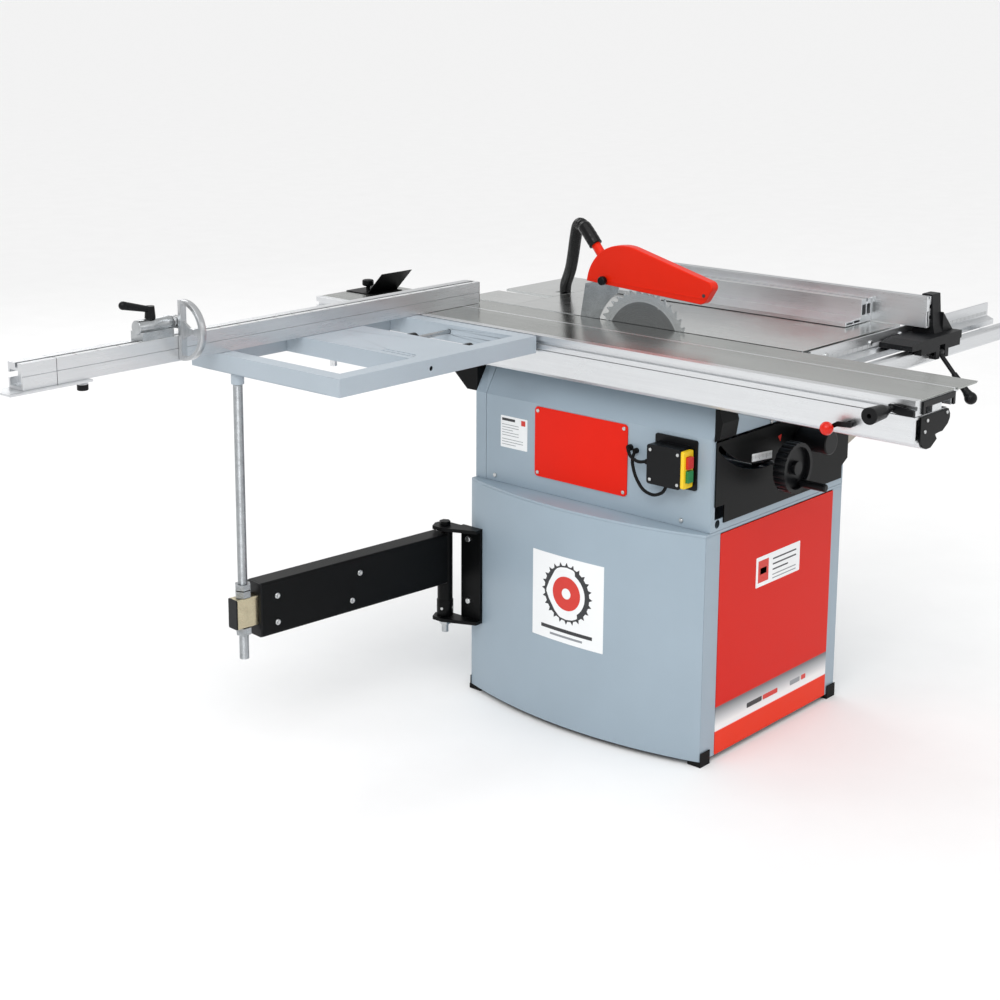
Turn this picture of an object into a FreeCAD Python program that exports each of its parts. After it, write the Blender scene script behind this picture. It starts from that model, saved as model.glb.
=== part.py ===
import FreeCAD, Part
import math
import os

# Sliding table saw, millimetres. Working frame: +X to the operator's right, +Y the feed direction,
# +Z up, floor at z = 0. Every node is moved at the end so that the origin is the middle of the
# whole machine's footprint.

Vector = FreeCAD.Vector

# Driving dimensions
TABLE_Z = 868.6
BLADE_X = -113.0
BLADE_RADIUS = 125.0
CUT_HEIGHT = 80.0
ARBOR_Z = TABLE_Z + CUT_HEIGHT - BLADE_RADIUS
SLIDER_HALF_LENGTH = 800.0
SLIDER_LEFT = -348.8
END_PLATE = 4.0

CABINET_LEFT = -318.9
CABINET_RIGHT = 208.4
CABINET_FRONT = -325.4
CABINET_BACK = 320.0
CABINET_BOTTOM = 11.0
CABINET_TOP = 506.0
CABINET_BULGE = 50.0
FOOT_SIZE = 34.0
FOOT_HEIGHT = 31.6
SHEET = 2.0

CASING_LEFT = -304.2
CASING_CREASE_Z = 704.0
CASING_SHOULDER = (-258.0, 778.0)
CASING_SEAM_Y = 289.3

TABLE_LEFT = -109.0
TABLE_RIGHT = 290.0
TABLE_FRONT = -406.0
TABLE_BACK = 380.0
EXTENSION_BACK = 535.0
TABLE_PLATE = 12.0
TABLE_SKIRT_Z = 826.0

OUTRIGGER_LEFT = -933.6
OUTRIGGER_RIGHT = -357.4
OUTRIGGER_FRONT = 99.6
OUTRIGGER_BACK = 539.5
OUTRIGGER_HEIGHT = 37.3
OUTRIGGER_BAR = 34.5

FENCE_LEFT = -1321.0
FENCE_RIGHT = -152.2
FENCE_FRONT = 450.4
FENCE_DEPTH = 45.0
FENCE_HEIGHT = 50.0
FENCE_BOTTOM = TABLE_Z + 0.6
FENCE_PIVOT = (-598.0, 473.0)
STOP_AXIS = (472.0, 945.0)
STOP_X = -1030.0

RAIL_LEFT = -105.0
RAIL_RIGHT = 676.0
RIP_HEAD_FRONT = -506.0

ARM_PIVOT = (-362.0, 363.0)
ROD_PLACE = (-916.0, 417.0)
ARM_MIDDLE_Z = 323.0
ARM_HEIGHT = 118.0
ARM_WIDTH = 50.0
ARM_REACH = math.dist(ARM_PIVOT, ROD_PLACE)
NUT = 17.3
ARM_ANGLE = -math.degrees(math.atan2(ROD_PLACE[1] - ARM_PIVOT[1], ARM_PIVOT[0] - ROD_PLACE[0]))

WHEEL_U = 15.0
WHEEL_W = -251.6
WHEEL_RADIUS = 54.5
LIFT_MIDDLE = 45.0
MOTOR_Y = 150.0
MOTOR_W = -140.0
ARBOR_PULLEY_RADIUS = 28.0
MOTOR_PULLEY_RADIUS = 34.0
GAP = 0.3

HOSE_RADIUS = 14.0
HOSE_ROUTE = [
    (-113.0, 136.0, 1035.0), (-112.0, 156.0, 1058.0), (-105.0, 182.0, 1077.0), (-84.0, 212.0, 1071.0),
    (-50.0, 246.0, 1030.0), (-10.0, 284.0, 985.0), (34.0, 326.0, 944.0), (70.0, 364.0, 914.0),
    (95.0, 393.0, 888.0), (110.0, 404.0, 856.0), (106.0, 408.0, 800.0), (90.0, 403.0, 752.0),
    (88.0, 402.0, 700.0)]
HOSE_HOLE = (106.0, 403.5)
GUARD_HALF = 12.0
GUARD_WALL = 2.4
LEAD_RADIUS = 3.5
LEAD_ROUTES = [
    [(-312.0, -118.0, 652.0), (-322.0, -124.0, 650.0), (-333.0, -140.0, 640.0),
     (-330.0, -158.0, 632.0), (-326.0, -174.0, 636.0)],
    [(-312.0, -134.0, 648.0), (-324.0, -136.0, 630.0), (-330.0, -150.0, 600.0),
     (-331.0, -172.0, 574.0), (-330.0, -200.0, 568.0), (-329.0, -222.0, 579.0), (-328.0, -230.0, 596.0)]]


# Building blocks

def box(x0, x1, y0, y1, z0, z1):
    return Part.makeBox(x1 - x0, y1 - y0, z1 - z0, Vector(x0, y0, z0))


def along(axis, start, radius, length):
    """A round bar that starts at start and runs along axis, 'x', 'y' or 'z'."""
    direction = {"x": Vector(1, 0, 0), "y": Vector(0, 1, 0), "z": Vector(0, 0, 1)}[axis]
    return Part.makeCylinder(radius, length, Vector(*start), direction)


def face_of(points):
    return Part.Face(Part.makePolygon([Vector(*p) for p in points + points[:1]]))


def prism_y(outline, y0, y1):
    return face_of([(x, y0, z) for x, z in outline]).extrude(Vector(0, y1 - y0, 0))


def prism_x(outline, x0, x1):
    return face_of([(x0, y, z) for y, z in outline]).extrude(Vector(x1 - x0, 0, 0))


def prism_z(outline, z0, z1):
    return face_of([(x, y, z0) for x, y in outline]).extrude(Vector(0, 0, z1 - z0))


def fused(shapes):
    return shapes[0].multiFuse(shapes[1:]).removeSplitter() if len(shapes) > 1 else shapes[0]


def group(shapes):
    return Part.makeCompound(shapes)


def rounded(shape, axis, radius):
    """Round every straight edge that runs along the axis."""
    edges = []
    for edge in shape.Edges:
        if edge.Curve.TypeId != "Part::GeomLine":
            continue
        direction = edge.tangentAt(edge.FirstParameter)
        if abs(getattr(direction, axis)) > 0.999:
            edges.append(edge)
    return shape.makeFillet(radius, edges)


def screw_head(place, axis, radius=5.0, height=3.0):
    """A round-head screw with a cross slot; axis is a unit vector out of the surface."""
    out = Vector(*axis)
    head = Part.makeCylinder(radius, height, Vector(*place), out)
    top = max(head.Faces, key=lambda f: f.CenterOfMass.dot(out))
    return head.makeFillet(height * 0.45, top.Edges)


def rounded_path(points):
    """Straight runs joined by tangent arcs; also gives the smallest arc radius."""
    nodes = [Vector(*p) for p in points]
    edges, last, smallest = [], nodes[0], float("inf")
    for before, here, after in zip(nodes, nodes[1:], nodes[2:]):
        into = (here - before).normalize()
        out = (after - here).normalize()
        half_turn = into.getAngle(out) / 2
        trim = 0.45 * min(before.distanceToPoint(here), here.distanceToPoint(after))
        smallest = min(smallest, trim / math.tan(half_turn))
        start, end = here - into * trim, here + out * trim
        inward = (out - into).normalize()
        radius = trim / math.tan(half_turn)
        middle = here + inward * (radius / math.cos(half_turn) - radius)
        edges += [Part.LineSegment(last, start).toShape(), Part.Arc(start, middle, end).toShape()]
        last = end
    edges.append(Part.LineSegment(last, nodes[-1]).toShape())
    return Part.Wire(edges), smallest


def tube_along(points, radius):
    path, smallest = rounded_path(points)
    first = Vector(*points[0])
    direction = (Vector(*points[1]) - first).normalize()
    ring = Part.Wire([Part.makeCircle(radius, first, direction)])
    solid = path.makePipeShell([ring], True, True)
    expected = math.pi * radius ** 2 * path.Length
    print(f"tube r {radius}: length {path.Length:.0f}, tightest arc {smallest:.0f}, "
          f"volume ratio {solid.Volume / expected:.3f}")
    return solid


def tilt_point(u, w):
    """A place in the tilting unit: u right of the blade, w above the table top."""
    return BLADE_X + u, TABLE_Z + w


def ring_sector_y(inner, outer, start, end, y0, y1):
    """A sector of a ring round the tilt axis; angles in degrees from straight down, + to the right."""
    def at(radius, angle):
        a = math.radians(angle)
        return Vector(BLADE_X + radius * math.sin(a), y0, TABLE_Z - radius * math.cos(a))

    middle = (start + end) / 2
    wire = Part.Wire([
        Part.Arc(at(outer, start), at(outer, middle), at(outer, end)).toShape(),
        Part.LineSegment(at(outer, end), at(inner, end)).toShape(),
        Part.Arc(at(inner, end), at(inner, middle), at(inner, start)).toShape(),
        Part.LineSegment(at(inner, start), at(outer, start)).toShape()])
    return Part.Face(wire).extrude(Vector(0, y1 - y0, 0))


# Cabinet

def bulge_wire(inset, z):
    """Plan outline of the cabinet with its left side bowed outward, set in by inset."""
    left, right = CABINET_LEFT + inset, CABINET_RIGHT - inset
    front, back = CABINET_FRONT + inset, CABINET_BACK - inset
    arc = Part.Arc(Vector(left, front, z), Vector(left - CABINET_BULGE, (front + back) / 2, z),
                   Vector(left, back, z))
    corners = [(left, back), (right, back), (right, front), (left, front)]
    sides = [Part.LineSegment(Vector(*a, z), Vector(*b, z)).toShape() for a, b in zip(corners, corners[1:])]
    return Part.Wire([arc.toShape()] + sides)


def cabinet_nodes():
    height = CABINET_TOP - CABINET_BOTTOM - 3 * SHEET
    outer = Part.Face(bulge_wire(0, CABINET_BOTTOM)).extrude(Vector(0, 0, height))
    inner = Part.Face(bulge_wire(SHEET, CABINET_BOTTOM)).extrude(Vector(0, 0, height))
    shell = outer.cut(inner)
    left_part = box(CABINET_LEFT - 60, CABINET_LEFT, CABINET_FRONT - 1, CABINET_BACK + 1, 0, CABINET_TOP)
    left_panel = shell.common(left_part)

    def column(x0, x1):
        bar = box(x0, x1, CABINET_FRONT, CABINET_FRONT + 30, CABINET_BOTTOM, CABINET_TOP - 3 * SHEET)
        hollow = box(x0 + SHEET, x1 - SHEET, CABINET_FRONT + SHEET, CABINET_FRONT + 31,
                     CABINET_BOTTOM - 1, CABINET_TOP)
        return bar.cut(hollow)

    columns = [column(CABINET_LEFT, -267.8), column(169.8, CABINET_RIGHT - SHEET)]
    door = box(-267.3, 169.3, CABINET_FRONT - 1.2, CABINET_FRONT + 1, CABINET_BOTTOM + 1, CABINET_TOP - 8)
    door = rounded(door, "y", 3)
    right = box(CABINET_RIGHT - SHEET, CABINET_RIGHT, CABINET_FRONT, CABINET_BACK,
                CABINET_BOTTOM, CABINET_TOP - 3 * SHEET)
    back = box(CABINET_LEFT, CABINET_RIGHT - SHEET, CABINET_BACK - SHEET, CABINET_BACK,
               CABINET_BOTTOM, CABINET_TOP - 3 * SHEET)
    top_deck = Part.Face(bulge_wire(0, CABINET_TOP - 3 * SHEET)).extrude(Vector(0, 0, 3 * SHEET))
    top_deck = top_deck.cut(box(-275, 175, -285, 285, 0, 600))
    floor_pan = box(CABINET_LEFT + 1, CABINET_RIGHT - SHEET, CABINET_FRONT + 31, CABINET_BACK - SHEET,
                    CABINET_BOTTOM, CABINET_BOTTOM + SHEET)

    feet = []
    inset = FOOT_SIZE - 2
    for x in (CABINET_LEFT - 2, CABINET_RIGHT - inset):
        for front in (True, False):
            y = CABINET_FRONT - 3.5 if front else CABINET_BACK - inset + 2
            pad = box(x, x + FOOT_SIZE, y, y + FOOT_SIZE, 0, CABINET_BOTTOM)
            lip_y = y if front else CABINET_BACK + 0.2
            lip = box(x, x + FOOT_SIZE, lip_y, lip_y + 1.8, CABINET_BOTTOM, FOOT_HEIGHT)
            feet.append(fused([pad, lip]))
    return {
        "corner_feet": group(feet), "cabinet_frame": group([floor_pan, top_deck] + columns),
        "cabinet_left_panel": left_panel, "cabinet_rear_wrap": group([right, back]), "front_door_panel": door}


# Upper casing

def casing_outline(inset=0.0):
    x, z = CASING_SHOULDER
    return [
        (CASING_LEFT + inset, CABINET_TOP + 0.5), (CASING_LEFT + inset, CASING_CREASE_Z),
        (x + inset, z), (-235, z), (-205, 800), (-190, 820), (20, 820), (20, TABLE_Z - TABLE_PLATE),
        (CABINET_RIGHT - SHEET, TABLE_Z - TABLE_PLATE), (CABINET_RIGHT - SHEET, CABINET_TOP + 0.5)]


def folded_side(y0, y1):
    x, z = CASING_SHOULDER
    low, t = CABINET_TOP + 0.5, SHEET
    return prism_y([
        (CASING_LEFT, low), (CASING_LEFT, CASING_CREASE_Z), (x, z), (-236, z), (-236, z - t),
        (x + 1.1, z - t), (CASING_LEFT + t, CASING_CREASE_Z - 0.6), (CASING_LEFT + t, low)], y0, y1)


def casing_nodes():
    front, back, t = -325.5, CABINET_BACK, SHEET
    left_wall = folded_side(front + t, CASING_SEAM_Y)
    rear_return = folded_side(CASING_SEAM_Y + 0.8, back - t)
    rear_wall = prism_y(casing_outline(), back - t, back).cut(along("y", (60, back - 10, 620), 47.5, 20))
    right_wall = box(CABINET_RIGHT - t, CABINET_RIGHT, front, back, CABINET_TOP + 0.5, TABLE_Z - TABLE_PLATE)

    frame = prism_y(casing_outline(), front, front + t)
    frame = frame.cut(box(-291, 196, -400, -300, 532, 700))
    frame = frame.cut(along("y", (-280, -400, 543.6 - 22), 9, 100))

    outline = [(-294, 560), (-294, 696), (222, 696), (222, 564), (198, 550), (198, 521), (-262, 521), (-262, 560)]
    panel = prism_y(outline, front - 3.2, front)
    radius = math.hypot(WHEEL_U, WHEEL_W)
    rest = math.degrees(math.atan2(WHEEL_U, -WHEEL_W))
    slot = ring_sector_y(radius - 6.2, radius + 6.2, rest - 45.6, rest + 1, front - 10, front + 10)
    ends = []
    for angle in (rest - 45.6, rest + 1):
        a = math.radians(angle)
        ends.append(along("y", (BLADE_X + radius * math.sin(a), front - 10, TABLE_Z - radius * math.cos(a)), 6.2, 20))
    panel = panel.cut(fused([slot] + ends))
    panel = panel.cut(along("y", (13, front - 10, 652), 8, 20))

    plate = rounded(box(CASING_LEFT - 2.2, CASING_LEFT - GAP, -110.5, 144.6, 542, 699), "x", 9)
    gusset = prism_y([(208.6, 560), (330, 600), (330, 640), (286, 700), (286, 825), (208.6, 825)], -300, -297)
    gusset_foot = box(208.6, 212, -297, -270, 580, 800)

    radius_in, radius_out = 176.0, 204.0
    segments = []
    for y0, y1 in ((-323.5, -304), (304, 318)):
        ring = ring_sector_y(radius_in, radius_out, -49, 36, y0, y1)
        groove = ring_sector_y(190 - 6.3, 190 + 6.3, -45, 31, y0 - 1, y1 + 1)
        segments.append(ring.cut(groove))

    bore = along("y", (60, back - 1, 620), 47.5, 120)
    nipple = along("z", (88, 402, 640), 11, 58.5)
    port = along("y", (60, back, 620), 50, 110).cut(bore).cut(nipple)
    nipple = nipple.cut(along("z", (88, 402, 620), 9, 90)).cut(bore)
    return {
        "casing_left_wall": left_wall, "casing_rear_wrap": group([rear_return, rear_wall, right_wall]),
        "casing_front_frame": frame, "control_panel": panel, "service_plate": plate,
        "table_gusset": fused([gusset, gusset_foot]), "trunnion_segments": group(segments),
        "dust_chute": group([port, nipple])}


def machine_screws():
    """Screw heads of the casing, switch, slider end plates and rail, as separate solids."""
    heads = []
    for y in (-101.3, 135.6):
        for z in (551.2, 689.9):
            heads.append(screw_head((CASING_LEFT - 2.2, y, z), (-1, 0, 0), 4.2, 2.4))
    for y in (-268, -199):
        for z in (607, 670):
            heads.append(screw_head((-345, y, z), (-1, 0, 0), 3.6, 2.0))
    for y, z in ((262, 520), (-252, 520)):
        heads.append(screw_head((CASING_LEFT, y, z), (-1, 0, 0), 5.0, 3.2))
    heads.append(screw_head((-92, -325.5, 705), (0, -1, 0), 5.0, 3.2))
    for x in (RAIL_LEFT + 60, 134, 262):
        heads.append(screw_head((x, -422, 852), (0, -1, 0), 6.0, 3.5))
    for x, z in ((-310, 826), (-236, 829), (-318, 806)):
        heads.append(screw_head((x, -SLIDER_HALF_LENGTH, z), (0, -1, 0), 3.6, 2.4))
    for z in (220, 368):
        heads.append(screw_head((-340, 310, z), (-1, 0, 0), 7.0, 5.0))
    return {"machine_screws": group(heads)}


# Tables and rails

def table_nodes():
    top = box(TABLE_LEFT, TABLE_RIGHT, TABLE_FRONT, TABLE_BACK, TABLE_Z - TABLE_PLATE, TABLE_Z)
    low = TABLE_SKIRT_Z
    under = TABLE_Z - TABLE_PLATE
    skirts = [
        box(TABLE_LEFT, TABLE_RIGHT, TABLE_FRONT, TABLE_FRONT + 12, low, under),
        box(TABLE_LEFT, TABLE_RIGHT, TABLE_BACK - 12, TABLE_BACK, low, under),
        box(TABLE_RIGHT - 12, TABLE_RIGHT, TABLE_FRONT, TABLE_BACK, low, under)]
    plates = []
    for x0, x1 in ((TABLE_LEFT, 12), (41, TABLE_RIGHT)):
        plate = box(x0, x1, TABLE_BACK + 0.8, EXTENSION_BACK, TABLE_Z - 6, TABLE_Z)
        rib = box(x0 + 15, x0 + 27, TABLE_BACK + 0.8, EXTENSION_BACK - 20, TABLE_Z - 36, TABLE_Z - 6)
        plates.append(fused([plate, rib]))
    plates[1] = plates[1].cut(along("z", (*HOSE_HOLE, TABLE_Z - 50), 21.5, 100))

    fin = prism_x([
        (-417, 869.0), (-422, 869.0), (-422, 838.5), (-438, 832), (-438, 820), (-434, 820), (-434, 828.5),
        (-417, 832.5)], RAIL_LEFT, RAIL_RIGHT)
    tube = rounded(box(RAIL_LEFT, RAIL_RIGHT, -487, -463.5, 795, 830), "x", 6)
    bore = rounded(box(RAIL_LEFT - 1, RAIL_RIGHT + 1, -484, -466.5, 798, 827), "x", 3.5)
    spacers = []
    for x in (RAIL_LEFT + 60, 134, 262):
        spacers.append(along("y", (x, -417, 846), 8, 11))
    for x in (RAIL_LEFT + 40, 285, RAIL_RIGHT - 60):
        bar = box(x - 12, x + 12, -463.5, -438, 812, 818)
        spacers.append(bar)
    return {
        "main_table": fused([top] + skirts), "rear_extension": group(plates),
        "scale_rail": fused([fin] + spacers), "rail_tube": tube.cut(bore)}


# Sliding table

def slider_nodes():
    end = SLIDER_HALF_LENGTH - END_PLATE
    base_outline = [
        (SLIDER_LEFT, 837), (SLIDER_LEFT, 787), (-333, 787), (-326, 776), (-308, 770), (-292, 770),
        (-268, 783), (-262, 795), (-249, 794), (-229, 805), (-221, 815), (-221, 824), (-229, 837),
        (-250, 837), (-250, 850), (-285, 850), (-285, 837)]
    hollow = [(SLIDER_LEFT + 5, 831), (SLIDER_LEFT + 5, 793), (-330, 793), (-322, 781), (-308, 776),
              (-294, 776), (-275, 788), (-275, 831)]
    base = prism_y(base_outline, -end, end).cut(prism_y(hollow, -end - 1, end + 1))
    cover = [
        (-333, 835), (-333, 790), (-320, 776), (-308, 771), (-292, 771), (-269, 784), (-277, 794),
        (-262, 795), (-249, 795), (-229, 806), (-222, 816), (-222, 824), (-229, 835)]
    covers = [prism_y(cover, -end - END_PLATE, -end), prism_y(cover, end, end + END_PLATE)]
    bracket = prism_x([(-344, 740), (-336, 764), (-326, 770), (-326, 698), (-338, 706)], -300, -240)
    far_bracket = prism_x([(320.5, 770), (404, 770), (404, 750), (352, 704), (320.5, 704)], -300, -270)
    pads = [box(-258, -250, y, y + 60, CASING_SHOULDER[1], 794) for y in (-250, 190)]

    profile = [
        (SLIDER_LEFT, 838), (SLIDER_LEFT, 849), (-341, 849), (-341, 857), (SLIDER_LEFT, 857),
        (SLIDER_LEFT, TABLE_Z), (-330.6, TABLE_Z), (-330.6, 864.4), (-203.4, 864.4), (-203.4, TABLE_Z),
        (-197.6, TABLE_Z), (-197.6, 864.4), (-186, 864.4), (-186, 861), (-197.6, 859), (-199, 838),
        (-214, 838), (-214, 856), (-320, 856), (-320, 838)]
    carriage = prism_y(profile, -end, end)
    steel = box(-330.3, -203.6, -end, end, 864.6, TABLE_Z)
    flange = prism_y([(-197.4, TABLE_Z), (-117.4, TABLE_Z), (-118.0, 867.4), (-121.4, 864.6),
                      (-197.4, 864.6)], -end - END_PLATE, end + END_PLATE)
    cap = [(-326, 839), (-326, 863.6), (-204, 863.6), (-204, 839), (-212, 839), (-212, 852), (-318, 852),
           (-318, 839)]
    caps = [prism_y(cap, -end - END_PLATE, -end), prism_y(cap, end, end + END_PLATE)]

    grip_y, grip_z = -752.0, 849.0
    handle_arm = prism_x([(-796, 839), (-770, 839), (-744, 843), (-744, 856), (-758, 856), (-796, 850)],
                         -356, SLIDER_LEFT)
    stem = along("x", (-374, grip_y, grip_z), 5.5, 18)
    grip = Part.makeCone(16, 13.5, 46, Vector(-438, grip_y, grip_z), Vector(1, 0, 0))
    neck = Part.makeCone(13.5, 8, 18, Vector(-392, grip_y, grip_z), Vector(1, 0, 0))
    socket = along("x", (-439, grip_y, grip_z), 4.5, 12)
    grip = fused([grip, neck]).cut(socket)
    return {
        "slider_base": base, "slider_fittings": group(covers + [bracket, far_bracket] + pads),
        "carriage_profile": carriage, "carriage_top": group([steel, flange]), "carriage_ends": group(caps),
        "push_handle": group([fused([handle_arm, stem]), grip])}


def lock_lever():
    """Red ball lever that blocks the carriage; it turns on a pin along X."""
    pivot_y, pivot_z = -669.0, 806.0
    pin = along("x", (-362, pivot_y, pivot_z), 7, 362 + SLIDER_LEFT - GAP)
    arm = prism_x([(pivot_y - 6, pivot_z - 5), (pivot_y - 6, pivot_z + 6), (-644, 808), (-632, 800),
                   (-635, 793), (-646, 799)], -368, -362)
    neck = along("x", (-374, -633, 796), 4, 8)
    ball = Part.makeSphere(13, Vector(-383, -633, 796), Vector(1, 0, 0))
    return {"lock_lever": fused([pin, arm, neck, ball])}


def outrigger_nodes():
    top, low, bar = TABLE_Z, TABLE_Z - OUTRIGGER_HEIGHT, OUTRIGGER_BAR
    x0, x1, y0, y1 = OUTRIGGER_LEFT, OUTRIGGER_RIGHT, OUTRIGGER_FRONT, OUTRIGGER_BACK

    def tube(a, b, c, d, axis):
        outer = box(a, b, c, d, low, top)
        wall = 3.0
        over = wall if axis == "x" else -1
        inner = box(a + wall, b - wall, c + over, d - over, low + wall, top - wall)
        return outer.cut(inner)

    front = tube(x0, x1, y0, y0 + bar, "x").cut(along("y", (-681, y0 - 1, 849), 5, 6))
    back = tube(x0, x1, y1 - bar, y1, "x").cut(along("z", (-681, y1 - bar / 2, low - 1), 5, 6))
    left = tube(x0, x0 + bar, y0 + bar, y1 - bar, "y")
    right = tube(x1 - bar, x1, y0 + bar, y1 - bar, "y")
    for y in (160, 322):
        right = right.cut(along("x", (x1 - bar - 1, y, 853), 5.4, bar + 2))
    deck_x0, deck_x1 = -705.4, -530.0
    deck = box(deck_x0, deck_x1, y0 + bar, y1 - bar, low, top)
    deck = deck.cut(box(deck_x0 + 3, deck_x1 - 3, y0 + bar - 1, y1 - bar + 1, low - 1, top - 4))
    for x in (-690, -676):
        deck = deck.cut(rounded(box(x, x + 5, 150, 235, top - 10, top + 1), "z", 2.2))
    deck = deck.cut(along("z", (*FENCE_PIVOT, top - 10), 8 + GAP, 12))
    nodes = {"outrigger_frame": group([front, back, left, right, deck])}
    for name, y in (("cam_clamp_front", 160), ("cam_clamp_rear", 322)):
        rod = along("x", (-498, y, 853), 5, 148)
        head = along("x", (-350, y, 853), 3.6, 8)
        knob = along("x", (-522, y, 853), 13.5, 24)
        paddle = box(-520, -500, y - 6, y + 6, 853 - 32, 853)
        nodes[name] = fused([rod, head, rounded_knob(knob), paddle])
    return nodes


def rounded_knob(cylinder, radius=2.0):
    return cylinder.makeFillet(radius, [e for e in cylinder.Edges if e.Curve.TypeId == "Part::GeomCircle"])


# Crosscut fence

def fence_section(front, bottom):
    """Hollow fence profile with a scale slot on top and a clamp slot behind."""
    back, top = front + FENCE_DEPTH, bottom + FENCE_HEIGHT
    return [
        (front, bottom), (front, bottom + 25), (front + 1.5, bottom + 25.6), (front, bottom + 26.2),
        (front, top), (front + 14, top), (front + 14, top - 9), (front + 22, top - 9), (front + 22, top),
        (back, top), (back, bottom + 30), (back - 8, bottom + 30), (back - 8, bottom + 20), (back, bottom + 20),
        (back, bottom)]


def crosscut_nodes():
    bore = rounded(box(FENCE_LEFT - 1, FENCE_RIGHT + 1, FENCE_FRONT + 6, FENCE_FRONT + 33,
                       FENCE_BOTTOM + 5, FENCE_BOTTOM + 37), "x", 3)
    fence = prism_x(fence_section(FENCE_FRONT, FENCE_BOTTOM), FENCE_LEFT, FENCE_RIGHT).cut(bore)
    pivot_pin = along("z", (*FENCE_PIVOT, 787), 8, FENCE_BOTTOM + 2 - 787)
    pivot_nut = hex_nut(*FENCE_PIVOT, 846, 13, 12)
    fence = fused([fence, pivot_pin, pivot_nut])
    tongue = box(FENCE_LEFT - 60, FENCE_LEFT + 480, FENCE_FRONT + 9, FENCE_FRONT + 30,
                 FENCE_BOTTOM + 8, FENCE_BOTTOM + 34)
    stub = prism_x(fence_section(FENCE_FRONT, FENCE_BOTTOM), -1397, FENCE_LEFT - 1)
    stub = stub.cut(box(-1400, -1382, FENCE_FRONT + 5, FENCE_FRONT + 40, FENCE_BOTTOM + 5, FENCE_BOTTOM + 36))
    foot = box(-1432, -1250, FENCE_FRONT - 12, FENCE_FRONT + 48, FENCE_BOTTOM - 4.5, FENCE_BOTTOM - GAP)
    stub_foot = box(-1396, -1330, FENCE_FRONT + 5, FENCE_FRONT + 40, FENCE_BOTTOM - 1, FENCE_BOTTOM + 1)
    knob = rounded_knob(along("z", (-1262, FENCE_FRONT + 6, FENCE_BOTTOM - 22), 11, 14))
    knob_stem = along("z", (-1262, FENCE_FRONT + 6, FENCE_BOTTOM - 9), 4, 6)

    y, z = STOP_AXIS
    saddle = box(-1120, -1044, FENCE_FRONT + 3, FENCE_FRONT + 41, FENCE_BOTTOM + FENCE_HEIGHT + GAP, z - 8)
    tail = box(-1110, -1060, FENCE_FRONT + 14.6, FENCE_FRONT + 21.4, FENCE_BOTTOM + FENCE_HEIGHT - 7, z - 8)
    barrel = rounded_knob(along("x", (-1122, y, z), 14.5, 82), 1.5)
    pin = along("x", (-1045, y, z), 6, 26)
    carrier = fused([saddle, tail, barrel, pin]).cut(along("z", (-1087, y, z + 6), 5.2, 20))

    radius = 61.0
    disc = along("x", (STOP_X - 7, 440, 932), radius, 14)
    moon = disc.common(box(STOP_X - 10, STOP_X + 10, 300, 449.8, 800, 1100))
    windows = along("x", (STOP_X - 8, 440, 932), radius - 8, 16)
    windows = windows.common(box(STOP_X - 10, STOP_X + 10, 300, 440, 800, 1100))
    spoke = prism_x([(380, 918), (380, 946), (408, 937), (420, 939), (450, 956), (450, 908), (420, 925), (408, 927)],
                    STOP_X - 3, STOP_X + 3)
    moon = moon.cut(windows.cut(spoke))
    hub_arm = box(STOP_X - 4, STOP_X + 4, 444, y, z - 11, z + 11)
    hub = along("x", (STOP_X - 7, y, z), 13, 14)
    flip = fused([moon, hub_arm, hub]).cut(along("x", (STOP_X - 10, y, z), 6.2, 30))

    lever_x = -1087.0
    stem = along("z", (lever_x, y, z + 8), 5, 10)
    cap = Part.makeCone(11, 9, 24, Vector(lever_x, y, z + 15), Vector(0, 0, 1))
    handle = Part.makeCone(6, 8.5, 66, Vector(lever_x, y, z + 32), Vector(-0.97, 0, 0.24))
    tip = Part.makeSphere(8.5, Vector(lever_x - 64, y, z + 47.8))
    return {
        "crosscut_fence": fence,
        "fence_extension": fused([tongue, stub, stub_foot, foot, knob_stem, knob]),
        "stop_carrier": carrier, "flip_stop": flip, "stop_lever": fused([stem, cap, handle, tip])}


def edging_shoe():
    base = box(-250, -150, 704, 796, TABLE_Z + GAP, TABLE_Z + 2.3)
    plate = prism_x([(721, TABLE_Z + 2.3), (725, TABLE_Z + 2.3), (674, TABLE_Z + 55), (670, TABLE_Z + 55)],
                    -250, -150)
    post = along("z", (-215, 756, TABLE_Z + 2), 5, 14)
    knob = rounded_knob(along("z", (-215, 756, TABLE_Z + 14), 14, 15), 4)
    return {"edging_shoe": fused([base, plate, post, knob])}


# Swing arm

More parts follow.
